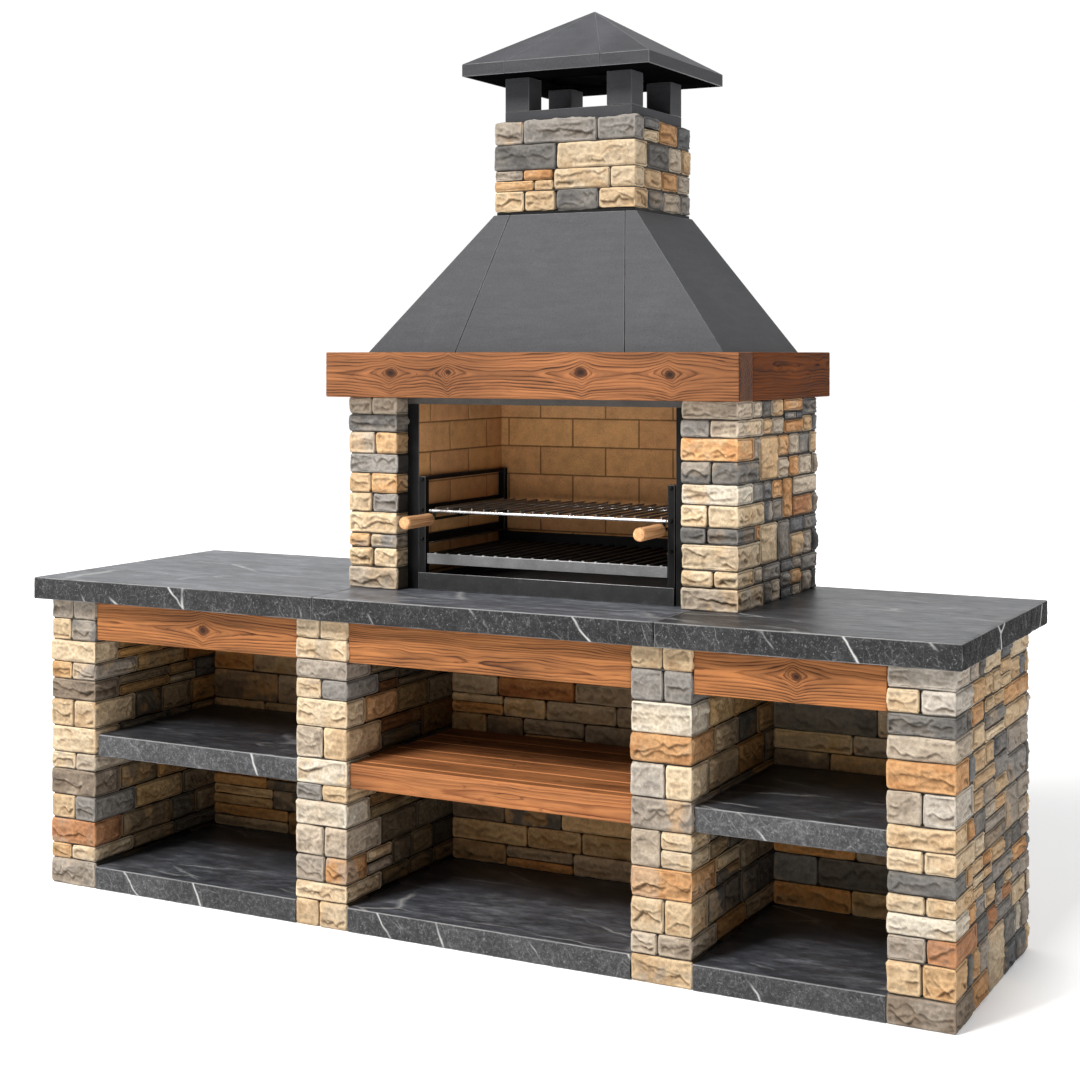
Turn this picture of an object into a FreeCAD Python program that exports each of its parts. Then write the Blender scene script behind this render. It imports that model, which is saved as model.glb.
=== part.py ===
import FreeCAD, Part
import math
import os
import random

# Masonry barbecue with a stone base of three bays, a stone worktop, a brick-lined firebox
# with a pull-out cooking grate, fire grate and ash tray, a timber mantel, a sheet hood, and
# a stone chimney with a sheet cap.
# Frame: +Z up, front towards -Y, origin at the bottom centre of the whole piece. Millimetres.

V = FreeCAD.Vector

# ---------------------------------------------------------------- driving dimensions
JOINT = 4.0                  # open joint between stones
RAKE = 7.0                   # how far the mortar beds lie behind the faces
FACE = 35.0                  # thickness of the facing stones
PIER_W = 167.0               # width of a base pier
BAY_L, BAY_M, BAY_R = 705.0, 838.0, 486.0   # clear widths of the three bays
BASE_W = 4 * PIER_W + BAY_L + BAY_M + BAY_R
BASE_FRONT, BASE_BACK = -382.5, 337.5       # front and back of the base
BAY_BACK = 175.5             # face of the wall at the back of the bays
TOP_Z, TOP_T = 900.0, 63.0   # worktop height and slab thickness
BASE_H = TOP_Z - TOP_T
TOP_X, TOP_Y = 1374.0, 427.5 # half length and half depth of the worktop
FLOOR_T = 65.0               # floor slabs of the bays
SHELF_TOP, SHELF_T = 446.0, 63.0
SHELF_RECESS = 13.5
WOOD_TOP, WOOD_FRONT_H, WOOD_SLAT_T = 450.0, 67.0, 30.0
WOOD_RECESS = 14.0
APRON_Z0, APRON_T, APRON_RECESS = 722.0, 35.0, 8.0

FIRE_X = 158.5               # centre line of the firebox
OPEN_HALF = 425.5            # half the clear width between the stone pillars
PILLAR_W = 159.0
PILLAR_FRONT, PILLAR_BACK = -197.5, 407.5
FIRE_TOP = 1434.5            # top of the pillars
REAR_FACE = 38.0             # stone behind the rear lining
BRICK_T = 32.0               # firebrick slip thickness
BRICK_H, BRICK_L, BRICK_J = 80.0, 211.0, 3.5
BRICK_FIRST = 44.5           # height of the cut first course
JAMB_Y, JAMB_W, JAMB_T = -141.0, 36.0, 4.0
LINTEL_H = 20.0

MANTEL_H = 123.0
MANTEL_X0, MANTEL_X1 = -456.0, 772.0
MANTEL_Y0, MANTEL_Y1 = -267.0, 422.5
MANTEL_FRONT_T, MANTEL_SIDE_T = 95.0, 70.0
KERB_T = 60.0

HOOD_Z0, HOOD_Z1 = FIRE_TOP + MANTEL_H, 1937.0
HOOD_BASE = (-373.0, 695.0, -178.0, 374.5)
CHIM = (-38.0, 395.0, -57.0, 325.0)         # chimney faces, x0 x1 y0 y1
HOOD_T = 8.0
CHIM_Z0, CHIM_Z1 = 1945.0, 2193.0
CHIM_STONE = 85.0
CAP = (-103.0, 462.0, -122.5, 391.0)
CAP_POST, CAP_INSET, CAP_BAND = 75.0, 23.0, 32.0
CAP_Z0, CAP_Z1, CAP_APEX = 2318.0, 2352.0, 2516.0
CAP_T = 5.0
CAP_SEAM_1, CAP_SEAM_2 = 0.239, 0.748       # seams of the front roof slope, share of its width
HOOD_SEAMS = ((0.2625, 0.1167), (0.7404, 0.9255)) # seams of the front hood slope: share at base, at top

# ---------------------------------------------------------------- helpers
nodes = {}


def box(x0, x1, y0, y1, z0, z1):
    return Part.makeBox(x1 - x0, y1 - y0, z1 - z0, V(x0, y0, z0))


def put(name, *shapes):
    nodes.setdefault(name, []).extend(shapes)


def rod(r, p, q):
    d = V(*q) - V(*p)
    return Part.makeCylinder(r, d.Length, V(*p), d)


def poly(points, faces):
    pts = [V(*p) for p in points]
    fs = [Part.Face(Part.makePolygon([pts[i] for i in f] + [pts[f[0]]])) for f in faces]
    s = Part.makeSolid(Part.makeShell(fs))
    if s.Volume < 0:
        s.reverse()
    return s


def courses(heights, z0, z1):
    """Course limits from the top down."""
    k = (z1 - z0) / sum(heights)
    out, z = [], z1
    for h in heights:
        out.append((z - h * k, z))
        z -= h * k
    return out


def lift(za, zb, z0, z1):
    """The stone's own bottom and top in a course: it leaves half a joint at each bed, none at the foot."""
    a = za if abs(za - z0) < 1e-6 else za + JOINT / 2
    b = zb - 2.0 if abs(zb - z1) < 1e-6 else zb - JOINT / 2
    return a, b


def lengths(total, lo, hi, rnd):
    """Random stone lengths that fill a run."""
    out, left = [], total
    while left > hi:
        w = rnd.uniform(lo, hi)
        if left - w < lo:
            w = left / 2
        out.append(w)
        left -= w
    out.append(left)
    return out


def run(make, start, end, za, zb, rnd, lo, hi, split):
    """Facing stones along one course, from start to end: make(a, b, za, zb) gives each one."""
    stones, a = [], start
    if end - start < 25:
        return stones
    ws = lengths(end - start, lo, hi, rnd)
    for i, w in enumerate(ws):
        p = a + (JOINT / 2 if i else 0)
        q = a + w - (JOINT / 2 if i < len(ws) - 1 else 0)
        if zb - za > 50 and rnd.random() < split and i < len(ws) - 1:
            zm = za + (zb - za) * rnd.uniform(0.42, 0.58)
            stones.append(make(p, q, za, zm - JOINT / 2))
            stones.append(make(p, q, zm + JOINT / 2, zb))
        else:
            stones.append(make(p, q, za, zb))
        a += w
    return stones


def ashlar(make, bed, rows, front, back, rnd, lo, hi):
    """Random-laid facing, two courses at a time: some stones stand through both, others lie in thin layers.
    rows holds (start, end, za, zb) of the courses from the top down. make(p, q, za, zb) lays a stone and
    bed(p, q, z) a raked bed joint; front and back are the ends of the beds."""
    def layer(p, q, za, zb):
        if q - p > 125 and rnd.random() < 0.7:
            m = p + (q - p) * rnd.uniform(0.36, 0.64)
            make(p, m - JOINT / 2, za, zb)
            make(m + JOINT / 2, q, za, zb)
        else:
            make(p, q, za, zb)

    for i in range(0, len(rows) - 1, 2):
        (s0, e0, a0, b0), (s1, e1, a1, b1) = rows[i], rows[i + 1]
        z, h = (a0 + b1) / 2, b0 - a1
        s, e = max(s0, s1), min(e0, e1)
        own = s - min(s0, s1) < 38           # too short for a closer: the first stones start unevenly
        if not own:
            for st, za, zb in ((s0, a0, b0), (s1, a1, b1)):
                if st < s:
                    make(st, s - JOINT, za, zb)
        bed(front, s, z)
        p = s
        while p < e - 1:
            kind = rnd.choice(("tall", "two", "two", "three", "three"))
            w = h * rnd.uniform(0.70, 1.30) if kind == "tall" else rnd.uniform(lo, hi)
            if e - p - w < lo:
                w = e - p
                if kind == "tall" and w > 1.6 * h:
                    kind = "three"
            q = p + w
            first, last = p == s, q > e - 1
            if (first and own) or (last and abs(e0 - e1) > 1):
                kind = "two"
            pa = p if first else p + JOINT / 2
            qa = e if last else q - JOINT / 2
            stop = back if last else q
            if kind == "tall":
                make(pa, qa, a1, b0)
            elif kind == "two":
                for st, en, za, zb in ((s0, e0, a0, b0), (s1, e1, a1, b1)):
                    layer(st if first and own else pa, en if last else qa, za, zb)
                bed(p, stop, z)
            else:
                z1, z2 = a1 + h * rnd.uniform(0.27, 0.40), a1 + h * rnd.uniform(0.60, 0.73)
                layer(pa, qa, a1, z1 - JOINT / 2)
                layer(pa, qa, z1 + JOINT / 2, z2 - JOINT / 2)
                layer(pa, qa, z2 + JOINT / 2, b0)
                bed(p, stop, z1)
                bed(p, stop, z2)
            p = q
    if len(rows) % 2:
        s, e, za, zb = rows[-1]
        p = s
        while p < e - 1:
            w = rnd.uniform(lo, hi)
            w = e - p if e - p - w < lo else w
            layer(p if p == s else p + JOINT / 2, e if p + w > e - 1 else p + w - JOINT / 2, za, zb)
            p += w


def quoins(x0, x1, y0, depth, za, zb, count, rnd):
    """The stones that show on the front of a pier in one course."""
    if count == 1:
        return [box(x0, x1, y0, y0 + depth, za, zb)]
    m = x0 + (x1 - x0) * rnd.uniform(0.43, 0.57)
    out = [box(x0, m - JOINT / 2, y0, y0 + depth, za, zb)]
    if count == 2:
        out.append(box(m + JOINT / 2, x1, y0, y0 + depth, za, zb))
    else:
        zm = (za + zb) / 2
        out.append(box(m + JOINT / 2, x1, y0, y0 + depth, za, zm - JOINT / 2))
        out.append(box(m + JOINT / 2, x1, y0, y0 + depth, zm + JOINT / 2, zb))
    return out


# ---------------------------------------------------------------- base: four piers and the back wall
# course heights from the top down, with the number of stones on the front of each course
PIERS = {
    "left_outer_pier": [(77, 2), (82, 2), (82, 1), (66, 2), (78, 1), (103, 2), (98, 1), (65, 2), (98, 1), (92, 2), (95, 1), (57, 2), (97, 1)],
    "left_inner_pier": [(75, 2), (75, 1), (70, 1), (72, 2), (100, 1), (115, 2), (92, 1), (60, 2), (90, 1), (107, 2), (95, 2), (65, 1), (95, 2)],
    "right_inner_pier": [(90, 2), (115, 2), (115, 1), (105, 1), (125, 2), (115, 1), (135, 3), (110, 1), (125, 2), (80, 2), (100, 1)],
    "right_outer_pier": [(80, 1), (82, 2), (73, 1), (82, 1), (100, 1), (112, 2), (80, 1), (75, 2), (72, 1), (65, 2), (72, 1), (85, 2), (112, 2), (100, 1)],
}
xs = [-BASE_W / 2]
for w in (PIER_W, BAY_L, PIER_W, BAY_M, PIER_W, BAY_R, PIER_W):
    xs.append(xs[-1] + w)
pier_x = dict(zip(PIERS, ((xs[0], xs[1]), (xs[2], xs[3]), (xs[4], xs[5]), (xs[6], xs[7]))))
bays = ((xs[1], xs[2]), (xs[3], xs[4]), (xs[5], xs[6]))
CORE_BACK = BAY_BACK + FACE
REAR_IN = BASE_BACK - FACE

for k, (name, plan) in enumerate(PIERS.items()):
    rnd = random.Random(100 + k)
    x0, x1 = pier_x[name]
    limits = courses([h for h, n in plan], 0, BASE_H)
    rows, ox = [], None
    for i, ((za, zb), (h, n)) in enumerate(zip(limits, plan)):
        a, b = lift(za, zb, 0, BASE_H)
        depth = rnd.uniform(150, 190) if i % 2 else rnd.uniform(95, 125)
        back = BASE_FRONT + depth
        put(name + "_stones", *quoins(x0, x1, BASE_FRONT, depth, a, b, n, rnd))
        put("pier_cores", box(x0 + FACE, x1 - FACE, back, CORE_BACK, za, zb))
        if i < len(plan) - 1:
            # raked mortar bed under the front stones
            low = min(depth, 95)
            put("mortar_beds", box(x0 + RAKE, x1 - RAKE, BASE_FRONT + RAKE, BASE_FRONT + low, za - JOINT / 2, za + JOINT / 2))
            if name == "left_outer_pier" and i % 2:
                put("mortar_beds", box(x0 + RAKE, x0 + FACE, BASE_FRONT + low, BASE_BACK - RAKE, za - JOINT / 2, za + JOINT / 2))
            if name == "right_outer_pier" and i % 2:
                put("mortar_beds", box(x1 - FACE, x1 - RAKE, BASE_FRONT + low, BASE_BACK - RAKE, za - JOINT / 2, za + JOINT / 2))
        # the two long faces of the pier
        for side in (0, 1):
            outer = (name == "left_outer_pier" and side == 0) or (name == "right_outer_pier" and side == 1)
            fx0, fx1 = (x0, x0 + FACE) if side == 0 else (x1 - FACE, x1)
            end = CORE_BACK
            if outer:
                end = BASE_BACK if i % 2 == 0 or side == 0 else REAR_IN - JOINT
                rows.append((back + JOINT, end, a, b))
                ox = (fx0, fx1, x0 + RAKE, fx1) if side == 0 else (fx0, fx1, fx0, x1 - RAKE)
            else:
                put(name + "_stones", *run(lambda p, q, z0, z1: box(fx0, fx1, p, q, z0, z1), back + JOINT, end, a, b, rnd, 95, 240, 0.22))
    if rows:
        ashlar(lambda p, q, z0, z1: put(name + "_stones", box(ox[0], ox[1], p, q, z0, z1)),
               lambda p, q, z: put("mortar_beds", box(ox[2], ox[3], p, q, z - JOINT / 2, z + JOINT / 2)),
               rows, BASE_FRONT + 95, BASE_BACK - RAKE, rnd, 80, 215)

put("base_back_wall_core", *[box(p, q, CORE_BACK, REAR_IN, 0, BASE_H) for p, q in ((xs[0] + FACE, xs[2] + PIER_W / 2), (xs[2] + PIER_W / 2, xs[4] + PIER_W / 2), (xs[4] + PIER_W / 2, xs[7] - FACE))])

rnd = random.Random(200)
for bx0, bx1 in bays:
    hs = [rnd.uniform(58, 92) for _ in range(11)]
    for za, zb in courses(hs, FLOOR_T, BASE_H):
        a, b = lift(za, zb, FLOOR_T, BASE_H)
        put("bay_back_stones", *run(lambda p, q, z0, z1: box(p, q, BAY_BACK, CORE_BACK, z0, z1), bx0, bx1, a, b, rnd, 110, 290, 0.14))

rnd = random.Random(210)
rear = PIERS["right_outer_pier"]
for i, (za, zb) in enumerate(courses([h for h, n in rear], 0, BASE_H)):
    a, b = lift(za, zb, 0, BASE_H)
    # the rear right corner bonds with the outer side in every second course; the left side runs past
    lx = xs[0] + FACE + JOINT
    rx = xs[7] - FACE - JOINT if i % 2 == 0 else xs[7]
    put("base_rear_stones", *run(lambda p, q, z0, z1: box(p, q, REAR_IN, BASE_BACK, z0, z1), lx, rx, a, b, rnd, 120, 300, 0.12))
    if i < len(rear) - 1:
        put("mortar_beds", box(lx, xs[7] - FACE, REAR_IN, BASE_BACK - RAKE, za - JOINT / 2, za + JOINT / 2))

# ---------------------------------------------------------------- slabs, shelves and aprons
for name, (bx0, bx1) in zip(("left", "middle", "right"), bays):
    put(name + "_floor_slab", box(bx0, bx1, BASE_FRONT, BAY_BACK, 0, FLOOR_T))
    put(name + "_apron_board", box(bx0, bx1, BASE_FRONT + APRON_RECESS, BASE_FRONT + APRON_RECESS + APRON_T, APRON_Z0, BASE_H))
    y = BASE_FRONT + APRON_RECESS + APRON_T
    for cx in (bx0, bx1 - 32):
        put("apron_cleats", box(cx, cx + 32, y, y + 32, APRON_Z0 + 8, BASE_H - 4))
    top = (WOOD_TOP - WOOD_FRONT_H) if name == "middle" else SHELF_TOP - SHELF_T
    for cx in (bx0, bx1 - 25):
        put("shelf_ledger_bars", box(cx, cx + 25, BASE_FRONT + 240, BAY_BACK, top - 25, top))
for name, (bx0, bx1) in (("left", bays[0]), ("right", bays[2])):
    put(name + "_shelf_slab", box(bx0, bx1, BASE_FRONT + SHELF_RECESS, BAY_BACK, SHELF_TOP - SHELF_T, SHELF_TOP))

bx0, bx1 = bays[1]
wy = BASE_FRONT + WOOD_RECESS
put("wood_shelf_fascia", box(bx0, bx1, wy, wy + 34, WOOD_TOP - WOOD_FRONT_H, WOOD_TOP))
SLATS, SLAT_GAP = 5, 5.0
sw = (BAY_BACK - (wy + 34) - SLATS * SLAT_GAP) / SLATS
for i in range(SLATS):
    y = wy + 34 + SLAT_GAP + i * (sw + SLAT_GAP)
    put("wood_shelf_slats", box(bx0, bx1, y, y + sw, WOOD_TOP - WOOD_SLAT_T, WOOD_TOP))
for x in (bx0 + 12, (bx0 + bx1) / 2 - 22, bx1 - 56):
    put("wood_shelf_bearers", box(x, x + 44, wy + 34, BAY_BACK, WOOD_TOP - WOOD_FRONT_H, WOOD_TOP - WOOD_SLAT_T))

cut_l, cut_r = (xs[2] + xs[3]) / 2, (xs[4] + xs[5]) / 2
for name, p, q in (("left", -TOP_X, cut_l - 1), ("middle", cut_l + 1, cut_r - 1), ("right", cut_r + 1, TOP_X)):
    put(name + "_counter_slab", box(p, q, -TOP_Y, TOP_Y, BASE_H, TOP_Z))

# ---------------------------------------------------------------- firebox
in_l, in_r = FIRE_X - OPEN_HALF, FIRE_X + OPEN_HALF     # inner faces of the pillars
out_l, out_r = in_l - PILLAR_W, in_r + PILLAR_W
LIN_L, LIN_R = in_l + JAMB_W, in_r - JAMB_W             # faces of the side linings
REAR_STONE = PILLAR_BACK - REAR_FACE
REAR_LIN = REAR_STONE - BRICK_T
PILLARS = {
    "left_firebox_wall": [(51, 2), (50, 1), (63, 2), (55, 1), (57, 2), (55, 2), (62, 1), (40, 2), (55, 2), (62, 1)],
    "right_firebox_wall": [(125, 1), (120, 2), (155, 1), (150, 2), (135, 1), (150, 2), (110, 2), (170, 1), (115, 2), (150, 1)],
}
for k, (name, plan) in enumerate(PILLARS.items()):
    rnd = random.Random(300 + k)
    left = k == 0
    x0, x1 = (out_l, in_l) if left else (in_r, out_r)
    fx0, fx1 = (x0, x0 + FACE) if left else (x1 - FACE, x1)
    mx0, mx1 = (x0 + RAKE, x0 + FACE) if left else (x1 - FACE, x1 - RAKE)
    rows = []
    for i, ((za, zb), (h, n)) in enumerate(zip(courses([h for h, n in plan], TOP_Z, FIRE_TOP), plan)):
        a, b = lift(za, zb, TOP_Z, FIRE_TOP)
        depth = rnd.uniform(150, 190) if i % 2 else rnd.uniform(106, 128)
        back = PILLAR_FRONT + depth
        put(name + "_stones", *quoins(x0, x1, PILLAR_FRONT, depth, a, b, n, rnd))
        cx0, cx1 = (x0 + FACE, LIN_L - BRICK_T) if left else (LIN_R + BRICK_T, x1 - FACE)
        put("firebox_wall_cores", box(cx0, cx1, back, REAR_STONE, za, zb))
        if i < len(plan) - 1:
            put("mortar_beds", box(x0 + RAKE, x1 - RAKE, PILLAR_FRONT + RAKE, PILLAR_FRONT + 104, za - JOINT / 2, za + JOINT / 2))
            if i % 2:
                put("mortar_beds", box(mx0, mx1, PILLAR_FRONT + 104, PILLAR_BACK - RAKE, za - JOINT / 2, za + JOINT / 2))
        end = PILLAR_BACK if i % 2 == 0 or left else REAR_STONE - JOINT
        rows.append((back + JOINT, end, a, b))
    ashlar(lambda p, q, z0, z1: put(name + "_stones", box(fx0, fx1, p, q, z0, z1)),
           lambda p, q, z: put("mortar_beds", box(mx0, mx1, p, q, z - JOINT / 2, z + JOINT / 2)),
           rows, PILLAR_FRONT + 104, PILLAR_BACK - RAKE, rnd, 62, 165)

rnd = random.Random(320)
for i, (za, zb) in enumerate(courses([h for h, n in PILLARS["right_firebox_wall"]], TOP_Z, FIRE_TOP)):
    a, b = lift(za, zb, TOP_Z, FIRE_TOP)
    lx = out_l + FACE + JOINT
    rx = out_r - FACE - JOINT if i % 2 == 0 else out_r
    put("firebox_rear_stones", *run(lambda p, q, z0, z1: box(p, q, REAR_STONE, PILLAR_BACK, z0, z1), lx, rx, a, b, rnd, 110, 270, 0.15))
    if i < len(PILLARS["right_firebox_wall"]) - 1:
        put("mortar_beds", box(lx, out_r - FACE, REAR_STONE, PILLAR_BACK - RAKE, za - JOINT / 2, za + JOINT / 2))

# firebrick slips in running bond: a cut first course, then full courses up to the head
beds = [TOP_Z, TOP_Z + BRICK_FIRST]
while beds[-1] + BRICK_H + BRICK_J < FIRE_TOP - 20:
    beds.append(beds[-1] + BRICK_H + BRICK_J)
beds.append(FIRE_TOP)


def bricks(make, start, end, first):
    out = []
    for c in range(len(beds) - 1):
        za = beds[c] + (BRICK_J / 2 if c else 0)
        zb = beds[c + 1] - (BRICK_J / 2 if c < len(beds) - 2 else 0)
        p = start
        q = start + (first if c % 2 else first - (BRICK_L + BRICK_J) / 2)
        while q - start < 30:
            q += BRICK_L + BRICK_J
        while p < end - 1:
            q = end if q > end - 25 else q
            out.append(make(p + (BRICK_J / 2 if p > start else 0), q - (BRICK_J / 2 if q < end else 0), za, zb))
            p, q = q, q + BRICK_L + BRICK_J
    return out


JAMB_IN = JAMB_Y + JAMB_T
put("side_firebrick_linings", *bricks(lambda p, q, z0, z1: box(LIN_L - BRICK_T, LIN_L, p, q, z0, z1), JAMB_IN, REAR_LIN, 170.0))
put("side_firebrick_linings", *bricks(lambda p, q, z0, z1: box(LIN_R, LIN_R + BRICK_T, p, q, z0, z1), JAMB_IN, REAR_LIN, 170.0))
put("rear_firebrick_lining", *bricks(lambda p, q, z0, z1: box(p, q, REAR_LIN, REAR_STONE, z0, z1), LIN_L - BRICK_T, LIN_R + BRICK_T, 57.0))

# steel angles that guard the front ends of the linings, and the bar over the opening
for left in (True, False):
    f = (lambda a, b, *r: box(in_l + a, in_l + b, *r)) if left else (lambda a, b, *r: box(in_r - b, in_r - a, *r))
    face = f(0, JAMB_W, JAMB_Y, JAMB_IN, TOP_Z, FIRE_TOP - LINTEL_H)
    leg = f(0, JAMB_T, JAMB_IN, JAMB_Y + 44, TOP_Z, FIRE_TOP - LINTEL_H)
    put("steel_jambs", face.fuse(leg).removeSplitter())
bar = box(in_l + 3, in_r - 3, JAMB_Y - 6, JAMB_IN, FIRE_TOP - LINTEL_H, FIRE_TOP)
put("steel_lintel", bar.fuse(box(LIN_L + 1, LIN_R - 1, JAMB_IN, JAMB_IN + 50, FIRE_TOP - 8, FIRE_TOP)).removeSplitter())

# ---------------------------------------------------------------- hearth, ladders, grates, tray
HEARTH_T = 15.0
LAD = 20.0                                   # ladder post section
lad_l, lad_r = LIN_L + 3, LIN_R - 3          # outer faces of the ladder posts
POST_Y0, POST_Y1 = -143.0, REAR_LIN - 5
LAD_TOP = 1213.0
RAILS = (1032.0, 1112.5)                     # tops of the two grate ledges
FIRE_LEDGE = 970.5                           # top of the fire grate's ledge
hx0, hx1 = lad_l + LAD + 4, lad_r - LAD - 4
hy0, hy1 = -118.0, REAR_LIN - 1
nx, ny = 6, 2
for i in range(nx):
    for j in range(ny):
        tx, ty = (hx1 - hx0 + 2) / nx, (hy1 - hy0 + 2) / ny
        put("hearth_tiles", box(hx0 + i * tx, hx0 + (i + 1) * tx - 2, hy0 + j * ty, hy0 + (j + 1) * ty - 2, TOP_Z, TOP_Z + HEARTH_T))

for name, left in (("left_grill_ladder", True), ("right_grill_ladder", False)):
    f = (lambda a, b, *r: box(lad_l + a, lad_l + b, *r)) if left else (lambda a, b, *r: box(lad_r - b, lad_r - a, *r))
    put(name, f(0, LAD, POST_Y0, POST_Y0 + LAD, TOP_Z, LAD_TOP), f(0, LAD, POST_Y1 - LAD, POST_Y1, TOP_Z, LAD_TOP))
    y0, y1 = POST_Y0 + LAD, POST_Y1 - LAD
    put(name, f(2, 14, y0, y1, LAD_TOP - 12, LAD_TOP))
    for z in RAILS:
        put(name, f(2, 6, y0, y1, z, z + 20), f(2, 32, y0, y1, z - 4, z))
    put(name, f(2, 30, y0, y1, FIRE_LEDGE - 4, FIRE_LEDGE))
    for z in (RAILS[0] + 8, RAILS[1] + 8, LAD_TOP - 8):
        x = lad_l + LAD / 2 if left else lad_r - LAD / 2
        put("ladder_bolts", rod(5.0, (x, POST_Y0 - 3.2, z), (x, POST_Y0, z)))

# cooking grate: rods on a rod frame, hung handle rods below it with turned wooden grips
GRATE_Z = RAILS[1] + 0.5 + 4.0
gx0, gx1 = lad_l + LAD + 5, lad_r - LAD - 5
GR_Y0, GR_Y1, GR_MID = -125.0, 262.0, 180.0
gs0, gs1 = lad_l + LAD + 5.5, lad_r - LAD - 5.5   # side rods over the ledges, clear of the posts
for y in (GR_Y0, GR_MID, GR_Y1):
    put("cooking_grate_frame", rod(4.5 if y == GR_Y0 else 4.0, (gs0 + 4.05, y, GRATE_Z), (gs1 - 4.05, y, GRATE_Z)))
for x in (gs0, gs1):
    put("cooking_grate_frame", rod(4.0, (x, GR_Y0 - 4.5, GRATE_Z), (x, GR_Y1 + 4, GRATE_Z)))
ROD_R, ROD_PITCH = 3.0, 38.0
n = int((gx1 - gx0 - 24) // ROD_PITCH)
for i in range(n + 1):
    x = FIRE_X + (i - n / 2) * ROD_PITCH
    z = GRATE_Z + 4.5 + ROD_R + 0.02
    put("cooking_grate_rods", rod(ROD_R, (x, GR_Y0 - 3, z), (x, GR_Y1 + 3, z)))
HAND_X, HAND_Z, GRIP_Y0, GRIP_Y1, GRIP_R = 348.5, 1095.0, -285.0, -147.0, 18.0
for s in (-1, 1):
    x = FIRE_X + s * HAND_X
    put("grate_handle_rods", rod(4.0, (x, GRIP_Y0 + 20, HAND_Z), (x, GR_MID + 12, HAND_Z)))
    for y, r in ((GR_Y0, 4.5), (GR_MID, 4.0)):
        put("grate_handle_rods", box(x - 3, x + 3, y - 3, y + 3, HAND_Z + 4.05, GRATE_Z - r - 0.05))
    grip = rod(GRIP_R, (x, GRIP_Y0, HAND_Z), (x, GRIP_Y1, HAND_Z))
    grip = grip.cut(rod(4.2, (x, GRIP_Y0 + 19.5, HAND_Z), (x, GRIP_Y1 + 1, HAND_Z)))
    put("left_wooden_grip" if s < 0 else "right_wooden_grip", grip)

# fire grate: a flat-bar frame with a raised back, and round bars
FG0, FG1 = lad_l + LAD + 3, lad_r - LAD - 3
FG_Z0, FG_Z1 = FIRE_LEDGE + 0.5, FIRE_LEDGE + 29.5
FG_Y0, FG_Y1 = -139.0, POST_Y1 - LAD - 6
put("fire_grate_frame", box(FG0, FG1, FG_Y0, FG_Y0 + 6, FG_Z0, FG_Z1), box(FG0, FG1, FG_Y1 - 6, FG_Y1, FG_Z0, FG_Z1 + 26))
put("fire_grate_frame", box(FG0, FG0 + 6, FG_Y0 + 6, FG_Y1 - 6, FG_Z0, FG_Z1), box(FG1 - 6, FG1, FG_Y0 + 6, FG_Y1 - 6, FG_Z0, FG_Z1))
BAR_R, BAR_PITCH = 6.0, 38.0
n = int((FG1 - FG0 - 40) // BAR_PITCH)
for i in range(n + 1):
    x = FIRE_X + (i - n / 2) * BAR_PITCH
    z = FG_Z1 - 3.5
    put("fire_grate_bars", rod(BAR_R, (x, FG_Y0 + 6, z), (x, FG_Y1 - 6, z)))

# ash tray: a folded pan with a wider front plate
TP_X0, TP_X1, TP_H = LIN_L + 4, LIN_R - 4, 46.0
px0, px1, py1 = hx0 + 4, hx1 - 4, REAR_LIN - 20
pz = TOP_Z + HEARTH_T + 1.0
pan = box(px0, px1, -146, py1, pz, TOP_Z + 44).cut(box(px0 + 2.5, px1 - 2.5, -146, py1 - 2.5, pz + 2.5, TOP_Z + 60))
plate = box(TP_X0, TP_X1, -149.0, -146.0, TOP_Z + 1.0, TOP_Z + 1.0 + TP_H)
put("ash_tray", pan.fuse(plate).removeSplitter())

# ---------------------------------------------------------------- mantel, kerbs and hood
mz0, mz1 = FIRE_TOP, FIRE_TOP + MANTEL_H
mf = MANTEL_Y0 + MANTEL_FRONT_T
put("mantel_front_beam", box(MANTEL_X0, MANTEL_X1, MANTEL_Y0, mf, mz0, mz1))
put("mantel_side_beams", box(MANTEL_X0, MANTEL_X0 + MANTEL_SIDE_T, mf, MANTEL_Y1, mz0, mz1), box(MANTEL_X1 - MANTEL_SIDE_T, MANTEL_X1, mf, MANTEL_Y1, mz0, mz1))
kx0, kx1, ky1 = MANTEL_X0 + MANTEL_SIDE_T, MANTEL_X1 - MANTEL_SIDE_T, PILLAR_BACK - 12
put("hood_bearing_kerbs", box(kx0, kx1, mf, mf + KERB_T, mz0, mz1), box(kx0, kx0 + KERB_T, mf + KERB_T, ky1, mz0, mz1), box(kx1 - KERB_T, kx1, mf + KERB_T, ky1, mz0, mz1), box(kx0 + KERB_T, kx1 - KERB_T, ky1 - KERB_T, ky1, mz0, mz1))


def ring(b, z, inset=0.0):
    x0, x1, y0, y1 = b
    return [(x0 + inset, y0 + inset, z), (x1 - inset, y0 + inset, z), (x1 - inset, y1 - inset, z), (x0 + inset, y1 - inset, z)]


def slab(o0, o1, o2, o3, i0, i1, i2, i3):
    """A flat panel between an outer and an inner quad."""
    return poly([o0, o1, o2, o3, i0, i1, i2, i3], [(0, 1, 2, 3), (7, 6, 5, 4), (0, 4, 5, 1), (1, 5, 6, 2), (2, 6, 7, 3), (3, 7, 4, 0)])


def mix(p, q, t):
    return tuple(a + (b - a) * t for a, b in zip(p, q))


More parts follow.
